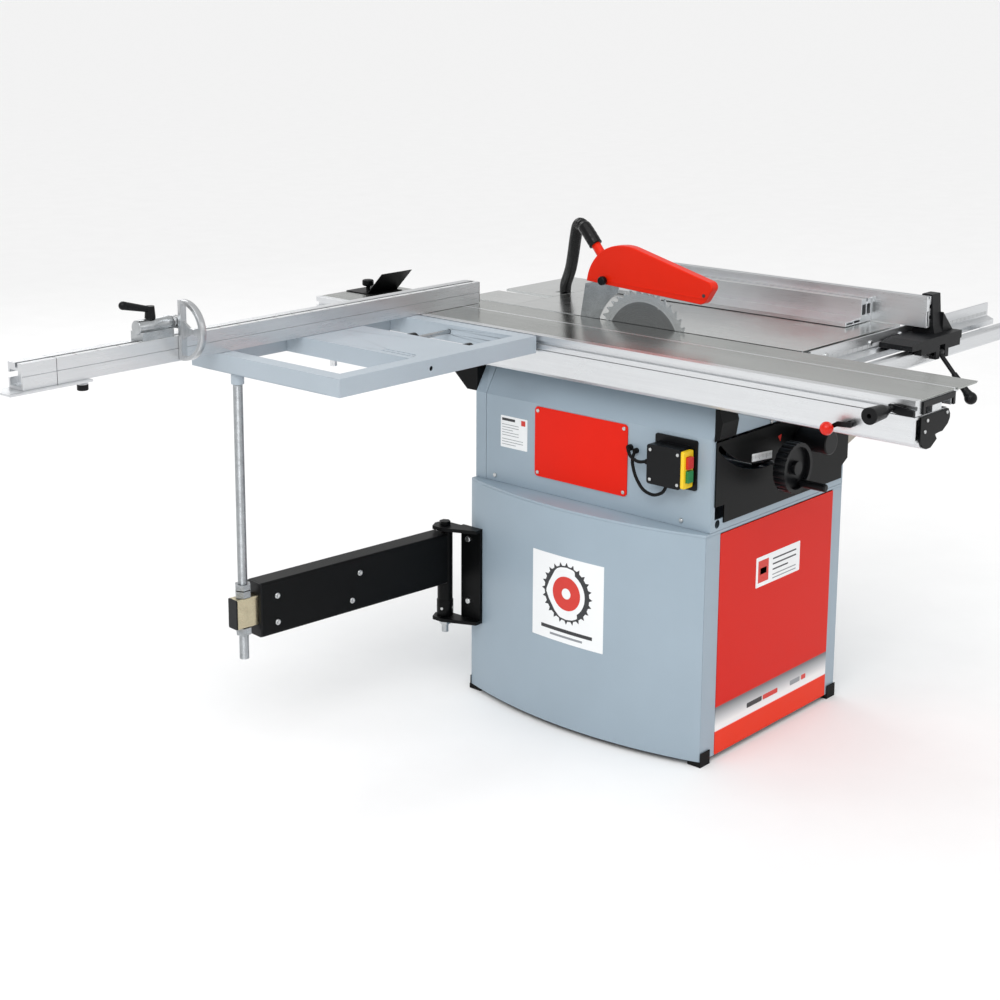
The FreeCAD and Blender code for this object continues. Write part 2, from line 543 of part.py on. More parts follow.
def arm_nodes():
    px, py = ARM_PIVOT
    rx = px - ARM_REACH
    low, top = ARM_MIDDLE_Z - ARM_HEIGHT / 2, ARM_MIDDLE_Z + ARM_HEIGHT / 2
    half = ARM_WIDTH / 2
    bar = rounded(box(rx + 31, px - 14, py - half, py + half, low, top), "x", 5)
    inside = box(rx + 30, px - 36, py - half + 3, py + half - 3, low + 3, top - 3)
    hub = along("z", (px, py, 218), 17.5, 164)
    collar = along("z", (px, py, 182), 19, 36)
    arm = fused([bar.cut(inside), hub, collar]).cut(along("z", (px, py, 170), 8.3, 240))

    inner_half, inner_low, inner_top = 15.0, ARM_MIDDLE_Z - 32, ARM_MIDDLE_Z + 32
    inner = rounded(box(rx - 24, rx + 300, py - inner_half, py + inner_half, inner_low, inner_top), "x", 3)
    hollow = box(rx - 25, rx + 301, py - inner_half + 4, py + inner_half - 4, inner_low + 4, inner_top - 4)
    inner = inner.cut(hollow).cut(along("z", (rx, py, inner_low - 1), 10.4, 80))

    rod_top = TABLE_Z - OUTRIGGER_HEIGHT - 1.0
    rod = along("z", (rx, py, 221), 10, rod_top - 12 - 221)
    boss = along("z", (rx, py, rod_top - 22), 13.5, 22)
    nuts = [hex_nut(rx, py, inner_top + 1, NUT, 14), hex_nut(rx, py, inner_top + 17, NUT, 12),
            hex_nut(rx, py, inner_low - 16, NUT, 15)]
    rod = fused([rod, boss] + nuts)

    plate = prism_z([(-340, 275), (-340, 333), (-342, 386), (-366, 390), (-388, 378), (-388, 350),
                     (-353, 275)], 388, 396)
    lower = plate.translated(Vector(0, 0, 172 - 388))
    back = box(-340, -332, 275, 333, 172, 396)
    bosses = [along("x", (-332, 288, z), 8, 1.4) for z in (220, 368)]
    bracket = fused([plate, lower, back] + bosses).cut(along("z", (px, py, 150), 8.2, 260))
    bolt = fused([along("z", (px, py, 140), 8, 262), hex_nut(px, py, 396, 13, 9), hex_nut(px, py, 159, 13, 13)])

    nodes = {"arm_tube": arm, "arm_slide": inner, "support_rod": rod}
    for shape in nodes.values():
        shape.rotate(Vector(px, py, 0), Vector(0, 0, 1), ARM_ANGLE)
    nodes["arm_bracket"] = group([bracket, bolt])
    return nodes


def hex_nut(x, y, z, radius, height):
    corners = [(x + radius * math.cos(math.radians(a)), y + radius * math.sin(math.radians(a)))
               for a in range(0, 360, 60)]
    return prism_z(corners, z, z + height)


# Rip fence

def rip_nodes():
    front = RIP_HEAD_FRONT
    bed = prism_y([(165, 838.8), (165, 850), (205, 856), (386, 856), (386, 838.8)], front, -426)
    hook = fused([box(206, 380, front, -489, 824, 842), box(272, 328, front, -489, 806, 842)])
    hook = hook.cut(box(288, 312, front - 5, -480, 790, 836))
    claw = box(206, 240, -489, -478, 831, 842)
    upright = prism_x([(-486, 850), (-428, 850), (-430, 878), (-450, 942), (-474, 942), (-480, 872)], 301, 338)
    web = prism_y([(338, 856), (338, 900), (384, 856)], -484, -474)
    head = fused([bed, hook, claw, upright, web])
    head = head.cut(along("x", (270, -498, 818), 4.3, 70))

    lever_y, lever_z = -498.0, 818.0
    pin = along("x", (280, lever_y, lever_z), 4, 40)
    eye = along("x", (291, lever_y, lever_z), 8.5, 18)
    reach = Vector(0, -93, -104)
    unit = Vector(reach).normalize()
    start = Vector(300, lever_y, lever_z)
    bar = Part.makeCylinder(5, 60, start + unit * 4, unit)
    grip = Part.makeCone(6.5, 8.5, 50, start + unit * 58, unit)
    pear = Part.makeSphere(14, start + unit * 122)
    neck = Part.makeCone(8.5, 12.5, 16, start + unit * 104, unit)
    lever = fused([pin, eye, bar, grip, neck, pear])

    rail = box(281.9, 300.4, -473, 330, 870, 939)
    for z in (888, 912):
        rail = rail.cut(box(294, 301, -474, 331, z, z + 8))
    rail = rail.cut(box(288, 294, -474, 331, 932, 940))
    rail = rail.cut(box(285, 291, -474, 331, 874, 906))
    face = prism_y([(171.5, 870), (171.5, 879), (238, 882), (238, 922.5), (258, 922.5), (258, 914),
                    (266, 914), (266, 922.5), (281.5, 922.5), (281.5, 870)], -337, 313)
    for x0, x1, z0, z1 in ((242, 258, 886, 910), (262, 277, 886, 910), (178, 205, 873, 876.5), (209, 234, 873, 878)):
        face = face.cut(box(x0, x1, -338, 314, z0, z1))

    knob_y, knob_z = -444.0, 880.0
    stem = along("x", (300.4 + GAP, knob_y, knob_z), 4, 46)
    knob = rounded_knob(along("x", (344, knob_y, knob_z), 13, 22), 3)
    head = head.cut(along("x", (290, knob_y, knob_z), 4.3, 80))
    return {"rip_head": head, "rip_lever": lever, "rip_profiles": group([rail, face]),
            "rip_knob": fused([stem, knob])}


# Switch

def switch_nodes():
    mount = rounded(box(-308.5, CASING_LEFT - GAP, -290, -184, 590, 696), "x", 5)
    body = rounded(box(-345, -308.5, -275, -190, 597, 681), "x", 6)
    face = rounded(box(-344, -312, -283, -275, 600, 678), "y", 3)
    nodes = {}
    for name, z in (("stop_button", 641), ("start_button", 612)):
        well = box(-337, -317, -284, -276, z - 0.5, z + 25.5)
        face = face.cut(well)
        nodes[name] = rounded(box(-336.5, -317.5, -288.5, -279.5, z, z + 25), "y", 2)
    leads = [tube_along(route, LEAD_RADIUS) for route in LEAD_ROUTES]
    reliefs = [
        Part.makeCone(8, 5.5, 16, Vector(-326, -190, 636), Vector(0, 1, 0)),
        along("x", (-312, -118, 652), 7, 312 + CASING_LEFT),
        along("x", (-312, -134, 648), 6, 312 + CASING_LEFT)]
    nodes.update({"switch_box": group([mount, body]), "switch_faceplate": face,
                  "switch_leads": fused(leads + reliefs)})
    return nodes


# Tilting and lifting unit

def tilt_nodes():
    outline = [tilt_point(u, w) for u, w in ((0, -100), (110, -100), (110, -265), (10, -265), (0, -255))]
    shaft_x, shaft_z = tilt_point(WHEEL_U, WHEEL_W)
    parts = [prism_y(outline, -300, -290), prism_y(outline, 290, 300)]
    x0, z0 = tilt_point(30, -262)
    parts.append(box(x0, x0 + 30, -290, 290, z0, z0 + 30))
    column_x, column_z = tilt_point(LIFT_MIDDLE, -232)
    for y in (-130, 215):
        parts.append(along("z", (column_x, y, column_z - 5), 8, 177))
    for y0 in (-312, 300):
        for angle in (6, 26):
            a = math.radians(angle)
            parts.append(along("y", (BLADE_X + 190 * math.sin(a), y0, TABLE_Z - 190 * math.cos(a)), 6, 12))
    carrier = fused(parts).cut(along("y", (shaft_x, -310, shaft_z), 5.4, 30))

    wheel_front = -400.0
    rim = along("y", (shaft_x, wheel_front, shaft_z), WHEEL_RADIUS, 28)
    rim = rim.cut(along("y", (shaft_x, wheel_front - 1, shaft_z), WHEEL_RADIUS - 9, 30))
    for index in range(24):
        a = math.radians(index * 15)
        rim = rim.cut(along("y", (shaft_x + (WHEEL_RADIUS + 1) * math.cos(a), wheel_front - 1,
                                  shaft_z + (WHEEL_RADIUS + 1) * math.sin(a)), 2.6, 30))
    disc = along("y", (shaft_x, wheel_front + 10, shaft_z), WHEEL_RADIUS - 8, 8)
    hub = along("y", (shaft_x, wheel_front, shaft_z), 15, 44)
    shaft = along("y", (shaft_x, -370, shaft_z), 5, 150)
    grip_place = (shaft_x + 17.5, wheel_front - 58, shaft_z - 36)
    grip = rounded_knob(along("y", grip_place, 8.5, 62), 3)
    grip_pin = along("y", (grip_place[0], wheel_front + 2, grip_place[2]), 4, 12)
    wheel = fused([rim, disc, hub, shaft, grip, grip_pin])

    knob = rounded_knob(along("y", (13, -410, 652), 26, 76), 3)
    knob_stem = along("y", (13, -340, 652), 6, 40)
    return {"tilt_carrier": carrier, "handwheel": wheel, "tilt_knob": fused([knob, knob_stem])}


def belt_loop(grow, x0, x1):
    """Solid hull of the two pulleys, grown by grow, between x0 and x1."""
    arbor = (0.0, ARBOR_Z, ARBOR_PULLEY_RADIUS + grow)
    motor = (MOTOR_Y, TABLE_Z + MOTOR_W, MOTOR_PULLEY_RADIUS + grow)
    span = math.dist(arbor[:2], motor[:2])
    heading = math.atan2(motor[1] - arbor[1], motor[0] - arbor[0])
    lean = math.acos((arbor[2] - motor[2]) / span)
    corners = []
    for side in (1, -1):
        angle = heading + side * lean
        pair = [(y + r * math.cos(angle), z + r * math.sin(angle)) for y, z, r in (arbor, motor)]
        corners += pair if side == 1 else pair[::-1]
    discs = [along("x", (x0, y, z), r, x1 - x0) for y, z, r in (arbor, motor)]
    return fused([prism_x(corners, x0, x1)] + discs)


def lift_nodes():
    face_x, _ = tilt_point(8, 0)
    back_x, _ = tilt_point(20, 0)
    motor_z = TABLE_Z + MOTOR_W
    plate = prism_x([(-70, TABLE_Z - 60), (-40, TABLE_Z - 38), (40, TABLE_Z - 38), (225, TABLE_Z - 90),
                     (225, TABLE_Z - 150), (150, TABLE_Z - 196), (60, TABLE_Z - 150), (-70, TABLE_Z - 150)],
                    face_x, back_x)
    housing = along("x", (back_x, 0, ARBOR_Z), 27, 58)
    column_x, _ = tilt_point(LIFT_MIDDLE, 0)
    sleeves = []
    for y in (-130, 215):
        sleeves.append(along("z", (column_x, y, TABLE_Z - 150), 15, 60))
    webs = [box(back_x - 12, column_x, -138, -66, TABLE_Z - 146, TABLE_Z - 94),
            box(back_x - 1, column_x, 207, 223, TABLE_Z - 146, TABLE_Z - 100)]
    knife_boss = box(BLADE_X + 1.3, face_x, 138, 176, 740, 790)
    motor_x, _ = tilt_point(104, 0)
    spacers = []
    for angle in (30, -20, 150):
        a = math.radians(angle)
        spacers.append(along("x", (back_x - 1, MOTOR_Y + 50 * math.cos(a), motor_z + 50 * math.sin(a)), 6,
                             motor_x - back_x + 1))
    lift = fused([plate, housing, knife_boss] + sleeves + webs + spacers)
    for y in (-130, 215):
        lift = lift.cut(along("z", (column_x, y, TABLE_Z - 170), 8.3, 100))
    lift = lift.cut(along("x", (face_x - 1, 0, ARBOR_Z), 8.3, 80))

    motor = rounded_knob(along("x", (motor_x, MOTOR_Y, motor_z), 62, 166), 5)
    fins = [box(motor_x + 20, motor_x + 130, MOTOR_Y - 66, MOTOR_Y + 66, motor_z - 1.5 + h, motor_z + 1.5 + h)
            for h in (-24, -8, 8, 24)]
    motor = fused([motor] + fins).cut(along("x", (motor_x - 1, MOTOR_Y, motor_z), 9.3, 14))

    knife = prism_x([(70, 985), (128, 985), (137, 951), (163, 945), (176, 868), (182, 735), (132, 735), (70, 800)],
                    BLADE_X - 1.2, BLADE_X + 1.2)
    knife = knife.cut(along("x", (BLADE_X - 5, 0, ARBOR_Z), BLADE_RADIUS + 6, 10))
    knife = max(knife.Solids, key=lambda s: s.Volume)
    knife = knife.cut(along("x", (BLADE_X - 5, 100, 960), 4.3, 10))

    belt = belt_loop(4.0, back_x + 64, back_x + 76).cut(belt_loop(GAP, back_x + 60, back_x + 80))
    pulley_x = back_x + 62
    pulley = fused([along("x", (pulley_x, MOTOR_Y, motor_z), MOTOR_PULLEY_RADIUS, 16),
                    along("x", (pulley_x, MOTOR_Y, motor_z), 9, 34)])
    return {"lift_plate": lift, "motor": motor, "riving_knife": knife, "drive_belt": belt,
            "motor_pulley": pulley}


def blade_nodes():
    teeth, body = 40, 1.0
    outline = []
    for index in range(teeth):
        for step, radius in ((0.0, BLADE_RADIUS), (0.16, BLADE_RADIUS - 1.2), (0.62, BLADE_RADIUS - 9.0),
                             (0.8, BLADE_RADIUS - 10.0), (0.92, BLADE_RADIUS - 8.5)):
            a = 2 * math.pi * (index + step) / teeth
            outline.append((radius * math.cos(a), ARBOR_Z + radius * math.sin(a)))
    disc = prism_x(outline, BLADE_X - body, BLADE_X + body)
    disc = disc.cut(along("x", (BLADE_X - 5, 0, ARBOR_Z), 15.1, 10))
    for index in range(4):
        slot = fused([box(BLADE_X - 5, BLADE_X + 5, -0.8, 0.8, 96, 122), along("x", (BLADE_X - 5, 0, 96), 2, 10)])
        slot.rotate(Vector(0, 0, 0), Vector(1, 0, 0), 24.5 + 90 * index)
        disc = disc.cut(slot.translated(Vector(0, 0, ARBOR_Z)))

    nut_x, _ = tilt_point(-16, 0)
    pulley_x, _ = tilt_point(82, 0)
    arbor = fused([
        along("x", (BLADE_X - 6, 0, ARBOR_Z), 28, 5), along("x", (BLADE_X + 1, 0, ARBOR_Z), 28, 6),
        along("x", (BLADE_X - 1.5, 0, ARBOR_Z), 15, 3), along("x", (nut_x, 0, ARBOR_Z), 8, 114),
        along("x", (nut_x, 0, ARBOR_Z), 13, 10), along("x", (pulley_x, 0, ARBOR_Z), ARBOR_PULLEY_RADIUS, 16)])
    return {"saw_blade": disc, "arbor": arbor}


def guard_outline():
    """Side view of the guard: a round back, a straight top and a blunt, drooping nose."""
    def arc(a, b, c):
        return Part.Arc(*[Vector(0, y, z) for y, z in (a, b, c)]).toShape()

    def line(a, b):
        return Part.LineSegment(Vector(0, *a), Vector(0, *b)).toShape()

    back_low, back_top, crown, nose_top = (152, 953), (62, 1041), (18, 1038.5), (-176, 988)
    nose_front, chin, nose_low = (-184, 966), (-172, 946), (-153, 937)
    return Part.Wire([
        arc(back_low, (128, 1008), back_top), arc(back_top, (40, 1042), crown), line(crown, nose_top),
        arc(nose_top, (-187, 979), nose_front), line(nose_front, chin), arc(chin, (-164, 938.8), nose_low),
        line(nose_low, back_low)])


def guard_nodes():
    half, wall = GUARD_HALF, GUARD_WALL
    outer = Part.Face(guard_outline())
    inner = outer.makeOffset2D(-wall)
    shell = outer.extrude(Vector(2 * half, 0, 0)).translated(Vector(BLADE_X - half, 0, 0))
    hollow = inner.extrude(Vector(2 * (half - wall), 0, 0)).translated(Vector(BLADE_X - half + wall, 0, 0))
    mouth = prism_x([(-158, 950), (-158, 925), (142, 925), (142, 960)], BLADE_X - half + wall, BLADE_X + half - wall)
    port_dir = (Vector(*HOSE_ROUTE[1]) - Vector(*HOSE_ROUTE[0])).normalize()
    port_start = Vector(*HOSE_ROUTE[0]) - port_dir * 30
    port = Part.makeCylinder(10.5, 30, port_start, port_dir)
    bore = Part.makeCylinder(8.5, 32, port_start - port_dir, port_dir)
    edges = [e for e in shell.Edges if abs(e.Length - 2 * half) > 0.5]
    shell = shell.makeFillet(2.4, [e for e in edges if e.BoundBox.ZMax > 960])
    guard = fused([shell.cut(hollow), port]).cut(hollow).cut(mouth).cut(bore)
    pin_hole = along("x", (BLADE_X - half - 5, 100, 960), 4.2, 60)
    knife_slot = box(BLADE_X - 2.2, BLADE_X + 2.2, 120, 170, 930, 975)
    guard = guard.cut(pin_hole).cut(knife_slot)
    pin = along("x", (BLADE_X - half - 4, 100, 960), 4, 2 * half + 8)
    knob = rounded_knob(along("x", (BLADE_X - half - 16, 100, 960), 10, 14), 4)
    washer = along("x", (BLADE_X + half + GAP, 100, 960), 8, 5)
    return {"blade_guard": guard, "guard_knob": fused([pin, knob, washer])}


def all_nodes():
    nodes = {}
    for make in (cabinet_nodes, casing_nodes, machine_screws, table_nodes, slider_nodes, lock_lever,
                 outrigger_nodes, crosscut_nodes, edging_shoe, arm_nodes, rip_nodes, switch_nodes,
                 tilt_nodes, lift_nodes, blade_nodes, guard_nodes):
        nodes.update(make())
    nodes["dust_hose"] = tube_along(HOSE_ROUTE, HOSE_RADIUS)
    return nodes


def middle_of(nodes):
    """Middle of the footprint of everything but the hose."""
    whole = FreeCAD.BoundBox()
    for name, shape in nodes.items():
        if name != "dust_hose":
            whole.add(shape.optimalBoundingBox(False, False))
    return Vector((whole.XMin + whole.XMax) / 2, (whole.YMin + whole.YMax) / 2, 0)


os.makedirs("parts", exist_ok=True)
model = all_nodes()
origin = middle_of(model)
print("nodes", len(model), "origin", origin.x, origin.y)
for node_name, node_shape in model.items():
    node_shape.translate(origin * -1)
    if not node_shape.isValid() or not node_shape.Solids:
        print("check", node_name, node_shape.isValid(), len(node_shape.Solids))
    node_shape.exportStep(f"parts/{node_name}.step")
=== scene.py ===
import bpy
import math
from mathutils import Matrix, Vector


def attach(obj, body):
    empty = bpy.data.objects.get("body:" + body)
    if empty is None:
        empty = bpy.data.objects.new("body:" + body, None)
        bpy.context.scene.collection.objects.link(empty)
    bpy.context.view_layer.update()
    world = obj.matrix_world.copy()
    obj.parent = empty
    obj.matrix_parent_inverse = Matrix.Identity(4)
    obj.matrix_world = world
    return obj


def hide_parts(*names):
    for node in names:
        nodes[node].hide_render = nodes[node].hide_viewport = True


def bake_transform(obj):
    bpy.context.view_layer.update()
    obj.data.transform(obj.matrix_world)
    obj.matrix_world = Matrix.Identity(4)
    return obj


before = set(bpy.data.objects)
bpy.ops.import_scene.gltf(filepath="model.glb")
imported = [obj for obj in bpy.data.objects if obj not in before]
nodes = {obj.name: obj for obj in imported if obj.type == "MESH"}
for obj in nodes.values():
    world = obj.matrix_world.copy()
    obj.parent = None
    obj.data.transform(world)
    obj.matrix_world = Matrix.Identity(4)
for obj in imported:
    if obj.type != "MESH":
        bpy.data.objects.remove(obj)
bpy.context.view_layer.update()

# Places are given in the machine's working frame, in millimetres: x 0 near the middle of the main
# table, y 0 under the blade's axis. SHIFT takes them to the row frame.
SHIFT = Vector((378.0, 1.2, 0.0))


def mm(x, y, z):
    return (Vector((x, y, z)) + SHIFT) / 1000


def srgb(text):
    """'#rrggbb' as a linear colour."""
    parts = [int(text[i:i + 2], 16) / 255 for i in (1, 3, 5)]
    return tuple(c / 12.92 if c <= 0.04045 else ((c + 0.055) / 1.055) ** 2.4 for c in parts) + (1.0,)


# Materials

class Nodes:
    """A small builder for one material's node tree."""

    def __init__(self, name):
        self.material = bpy.data.materials.new(name)
        self.material.use_nodes = True
        self.tree = self.material.node_tree
        self.shader = self.tree.nodes["Principled BSDF"]
        self.coords = self.new("ShaderNodeTexCoord").outputs["Object"]

    def new(self, kind, **settings):
        node = self.tree.nodes.new(kind)
        for key, value in settings.items():
            setattr(node, key, value)
        return node

    def link(self, source, target):
        self.tree.links.new(source, target)

    def noise(self, scale, detail=3.0, stretch=(1, 1, 1), roughness=0.55):
        mapping = self.new("ShaderNodeMapping")
        mapping.inputs["Scale"].default_value = stretch
        self.link(self.coords, mapping.inputs["Vector"])
        texture = self.new("ShaderNodeTexNoise")
        texture.inputs["Scale"].default_value = scale
        texture.inputs["Detail"].default_value = detail
        texture.inputs["Roughness"].default_value = roughness
        self.link(mapping.outputs["Vector"], texture.inputs["Vector"])
        return texture.outputs["Fac"]

    def ramp(self, factor, stops):
        node = self.new("ShaderNodeValToRGB")
        elements = node.color_ramp.elements
        while len(elements) < len(stops):
            elements.new(0.5)
        for element, (place, colour) in zip(elements, sorted(stops)):
            element.position = place
            element.color = colour
        self.link(factor, node.inputs["Fac"])
        return node.outputs["Color"]

    def spread(self, factor, low, high):
        """Noise stays mostly between 0.3 and 0.7, which is taken to low and high."""
        node = self.new("ShaderNodeMapRange")
        for key, value in (("From Min", 0.3), ("From Max", 0.7), ("To Min", low), ("To Max", high)):
            node.inputs[key].default_value = value
        self.link(factor, node.inputs["Value"])
        return node.outputs["Result"]

    def axis(self, name):
        node = self.new("ShaderNodeSeparateXYZ")
        self.link(self.coords, node.inputs["Vector"])
        return node.outputs[name]

    def maths(self, operation, a, b=0):
        node = self.new("ShaderNodeMath", operation=operation)
        for socket, value in zip(node.inputs, (a, b)):
            if isinstance(value, (int, float)):
                socket.default_value = value
            else:
                self.link(value, socket)
        return node.outputs["Value"]

    def bump(self, height, strength, distance=0.0004):
        node = self.new("ShaderNodeBump")
        node.inputs["Strength"].default_value = strength
        node.inputs["Distance"].default_value = distance
        self.link(height, node.inputs["Height"])
        self.link(node.outputs["Normal"], self.shader.inputs["Normal"])


def shade(colour, factor):
    return tuple(min(1.0, c * factor) for c in colour[:3]) + (1.0,)


def finish_of(name, colour, rough, metal=0.0, grain=1200.0, relief=0.12, mottle=0.05, swing=0.05, coat=0.0,
              patch=6.0, shine=0.5):
    """A painted, moulded or plated surface: fine grain in relief and roughness, broad drift in colour."""
    n = Nodes(name)
    fine = n.noise(grain, 2.0)
    broad = n.noise(patch, 4.0)
    tone = n.ramp(broad, [(0.3, shade(colour, 1 - mottle)), (0.7, shade(colour, 1 + mottle))])
    n.link(tone, n.shader.inputs["Base Color"])
    n.link(n.spread(fine, rough - swing, rough + swing), n.shader.inputs["Roughness"])
    n.shader.inputs["Metallic"].default_value = metal
    n.shader.inputs["Coat Weight"].default_value = coat
    n.shader.inputs["Coat Roughness"].default_value = 0.15
    n.shader.inputs["Specular IOR Level"].default_value = shine
    n.bump(fine, relief)
    return n.material


def ground_metal(name, colour, rough, along, scratch, aniso, tone_swing):
    """Metal ground or drawn along one axis: long fine streaks in colour, roughness and relief."""
    n = Nodes(name)
    stretch = tuple(0.012 if axis == along else 1.0 for axis in "xyz")
    streaks = n.noise(1500.0, 3.0, stretch, 0.7)
    bands = n.noise(160.0, 4.0, tuple(0.03 if axis == along else 1.0 for axis in "xyz"), 0.6)
    stain = n.noise(9.0, 5.0)
    mix = n.maths("ADD", n.maths("MULTIPLY", streaks, 0.4), n.maths("MULTIPLY", bands, 0.6))
    tone = n.ramp(mix, [(0.25, shade(colour, 1 - tone_swing)), (0.75, shade(colour, 1 + tone_swing))])
    n.link(tone, n.shader.inputs["Base Color"])
    rough_value = n.maths("ADD", n.spread(streaks, rough - 0.07, rough + 0.07), n.spread(stain, -0.03, 0.05))
    n.link(rough_value, n.shader.inputs["Roughness"])
    n.shader.inputs["Metallic"].default_value = 1.0
    n.shader.inputs["Anisotropic"].default_value = aniso
    n.bump(streaks, scratch, 0.00012)
    return n.material


def threaded_zinc(name, colour, pitch):
    """Zinc-plated rod whose thread shows as close rings along Z, in relief and as painted shade in the thread's
    roots with painted highlight on its crests.
    """
    n = Nodes(name)
    fine = n.noise(900.0, 3.0)
    blotch = n.noise(60.0, 4.0)
    # The thread rings paint shade into the thread's roots and highlight onto its crests. The blotches are
    # random tone.
    wave = n.maths("SINE", n.maths("MULTIPLY", n.axis("Z"), 2 * math.pi / pitch))
    rings = n.maths("ADD", n.maths("MULTIPLY", wave, 0.5), 0.5)
    tone = n.maths("ADD", n.maths("MULTIPLY", rings, 0.45), n.maths("MULTIPLY", blotch, 0.55))
    thread_shade_and_blotch = n.ramp(tone, [(0.2, shade(colour, 0.55)), (0.75, shade(colour, 1.12))])
    n.link(thread_shade_and_blotch, n.shader.inputs["Base Color"])
    n.link(n.spread(fine, 0.22, 0.36), n.shader.inputs["Roughness"])
    n.shader.inputs["Metallic"].default_value = 1.0
    n.bump(rings, 0.8, 0.0006)
    return n.material


def turned_steel(name, colour, centre, polished_radius, rough):
    """Circular grinding marks round the blade's axis, polished darker inside polished_radius."""
    n = Nodes(name)
    y = n.maths("SUBTRACT", n.axis("Y"), centre[1])
    z = n.maths("SUBTRACT", n.axis("Z"), centre[2])
    radius = n.maths("SQRT", n.maths("ADD", n.maths("MULTIPLY", y, y), n.maths("MULTIPLY", z, z)))
    place = n.new("ShaderNodeCombineXYZ")
    n.link(radius, place.inputs["X"])
    rings = n.new("ShaderNodeTexNoise")
    rings.inputs["Scale"].default_value = 1400.0
    rings.inputs["Detail"].default_value = 3.0
    n.link(place.outputs["Vector"], rings.inputs["Vector"])
    ground = n.ramp(rings.outputs["Fac"], [(0.3, shade(colour, 1.1)), (0.7, shade(colour, 1.35))])
    polished = n.ramp(rings.outputs["Fac"], [(0.3, shade(colour, 0.42)), (0.7, shade(colour, 0.55))])
    # The mix node has sockets of the same name for each data type, so its colour ones go by number.
    factor, first, second, result = 0, 6, 7, 2
    mix = n.new("ShaderNodeMix", data_type="RGBA")
    n.link(n.maths("GREATER_THAN", radius, polished_radius), mix.inputs[factor])
    n.link(polished, mix.inputs[first])
    n.link(ground, mix.inputs[second])
    n.link(mix.outputs[result], n.shader.inputs["Base Color"])
    n.link(n.spread(rings.outputs["Fac"], rough - 0.06, rough + 0.08), n.shader.inputs["Roughness"])
    n.shader.inputs["Metallic"].default_value = 1.0
    n.bump(rings.outputs["Fac"], 0.25, 0.0001)
    return n.material


def door_paint():
    """Red door whose foot carries a dark-to-pale band over an orange-red strip."""
    n = Nodes("door_red")
    red, orange = srgb("#d21a08"), srgb("#e63414")
    # Heights above the floor in metres. The ramp runs from 0 to 1, so they are spread over its length.
    spread = 2.0
    bands = ((0.0, orange), (0.0635, orange), (0.0645, srgb("#efefef")), (0.075, srgb("#ececec")),
             (0.095, srgb("#b9bcbf")), (0.117, srgb("#6a6d70")), (0.11825, red), (0.495, red))
    height = n.maths("MULTIPLY", n.axis("Z"), spread)
    tone = n.ramp(height, [(spread * level, colour) for level, colour in bands])
    fine = n.noise(1300.0, 2.0)
    n.link(tone, n.shader.inputs["Base Color"])
    n.link(n.spread(fine, 0.30, 0.38), n.shader.inputs["Roughness"])
    n.shader.inputs["Specular IOR Level"].default_value = 0.15
    n.bump(fine, 0.10)
    return n.material


def scale_print(name, ground, ink, axis, step, major):
    """A printed rule: a line every step metres, with a heavier one every major steps."""
    n = Nodes(name)
    place = n.maths("DIVIDE", n.axis(axis), step)
    minor = n.maths("LESS_THAN", n.maths("FRACT", place), 0.22)
    heavy = n.maths("LESS_THAN", n.maths("FRACT", n.maths("DIVIDE", place, major)), 0.5 / major)
    lines = n.maths("MAXIMUM", n.maths("MULTIPLY", minor, 0.55), heavy)
    n.link(n.ramp(lines, [(0.0, ground), (1.0, ink)]), n.shader.inputs["Base Color"])
    fine = n.noise(900.0, 2.0)
    n.link(n.spread(fine, 0.35, 0.45), n.shader.inputs["Roughness"])
    n.bump(fine, 0.05)
    return n.material


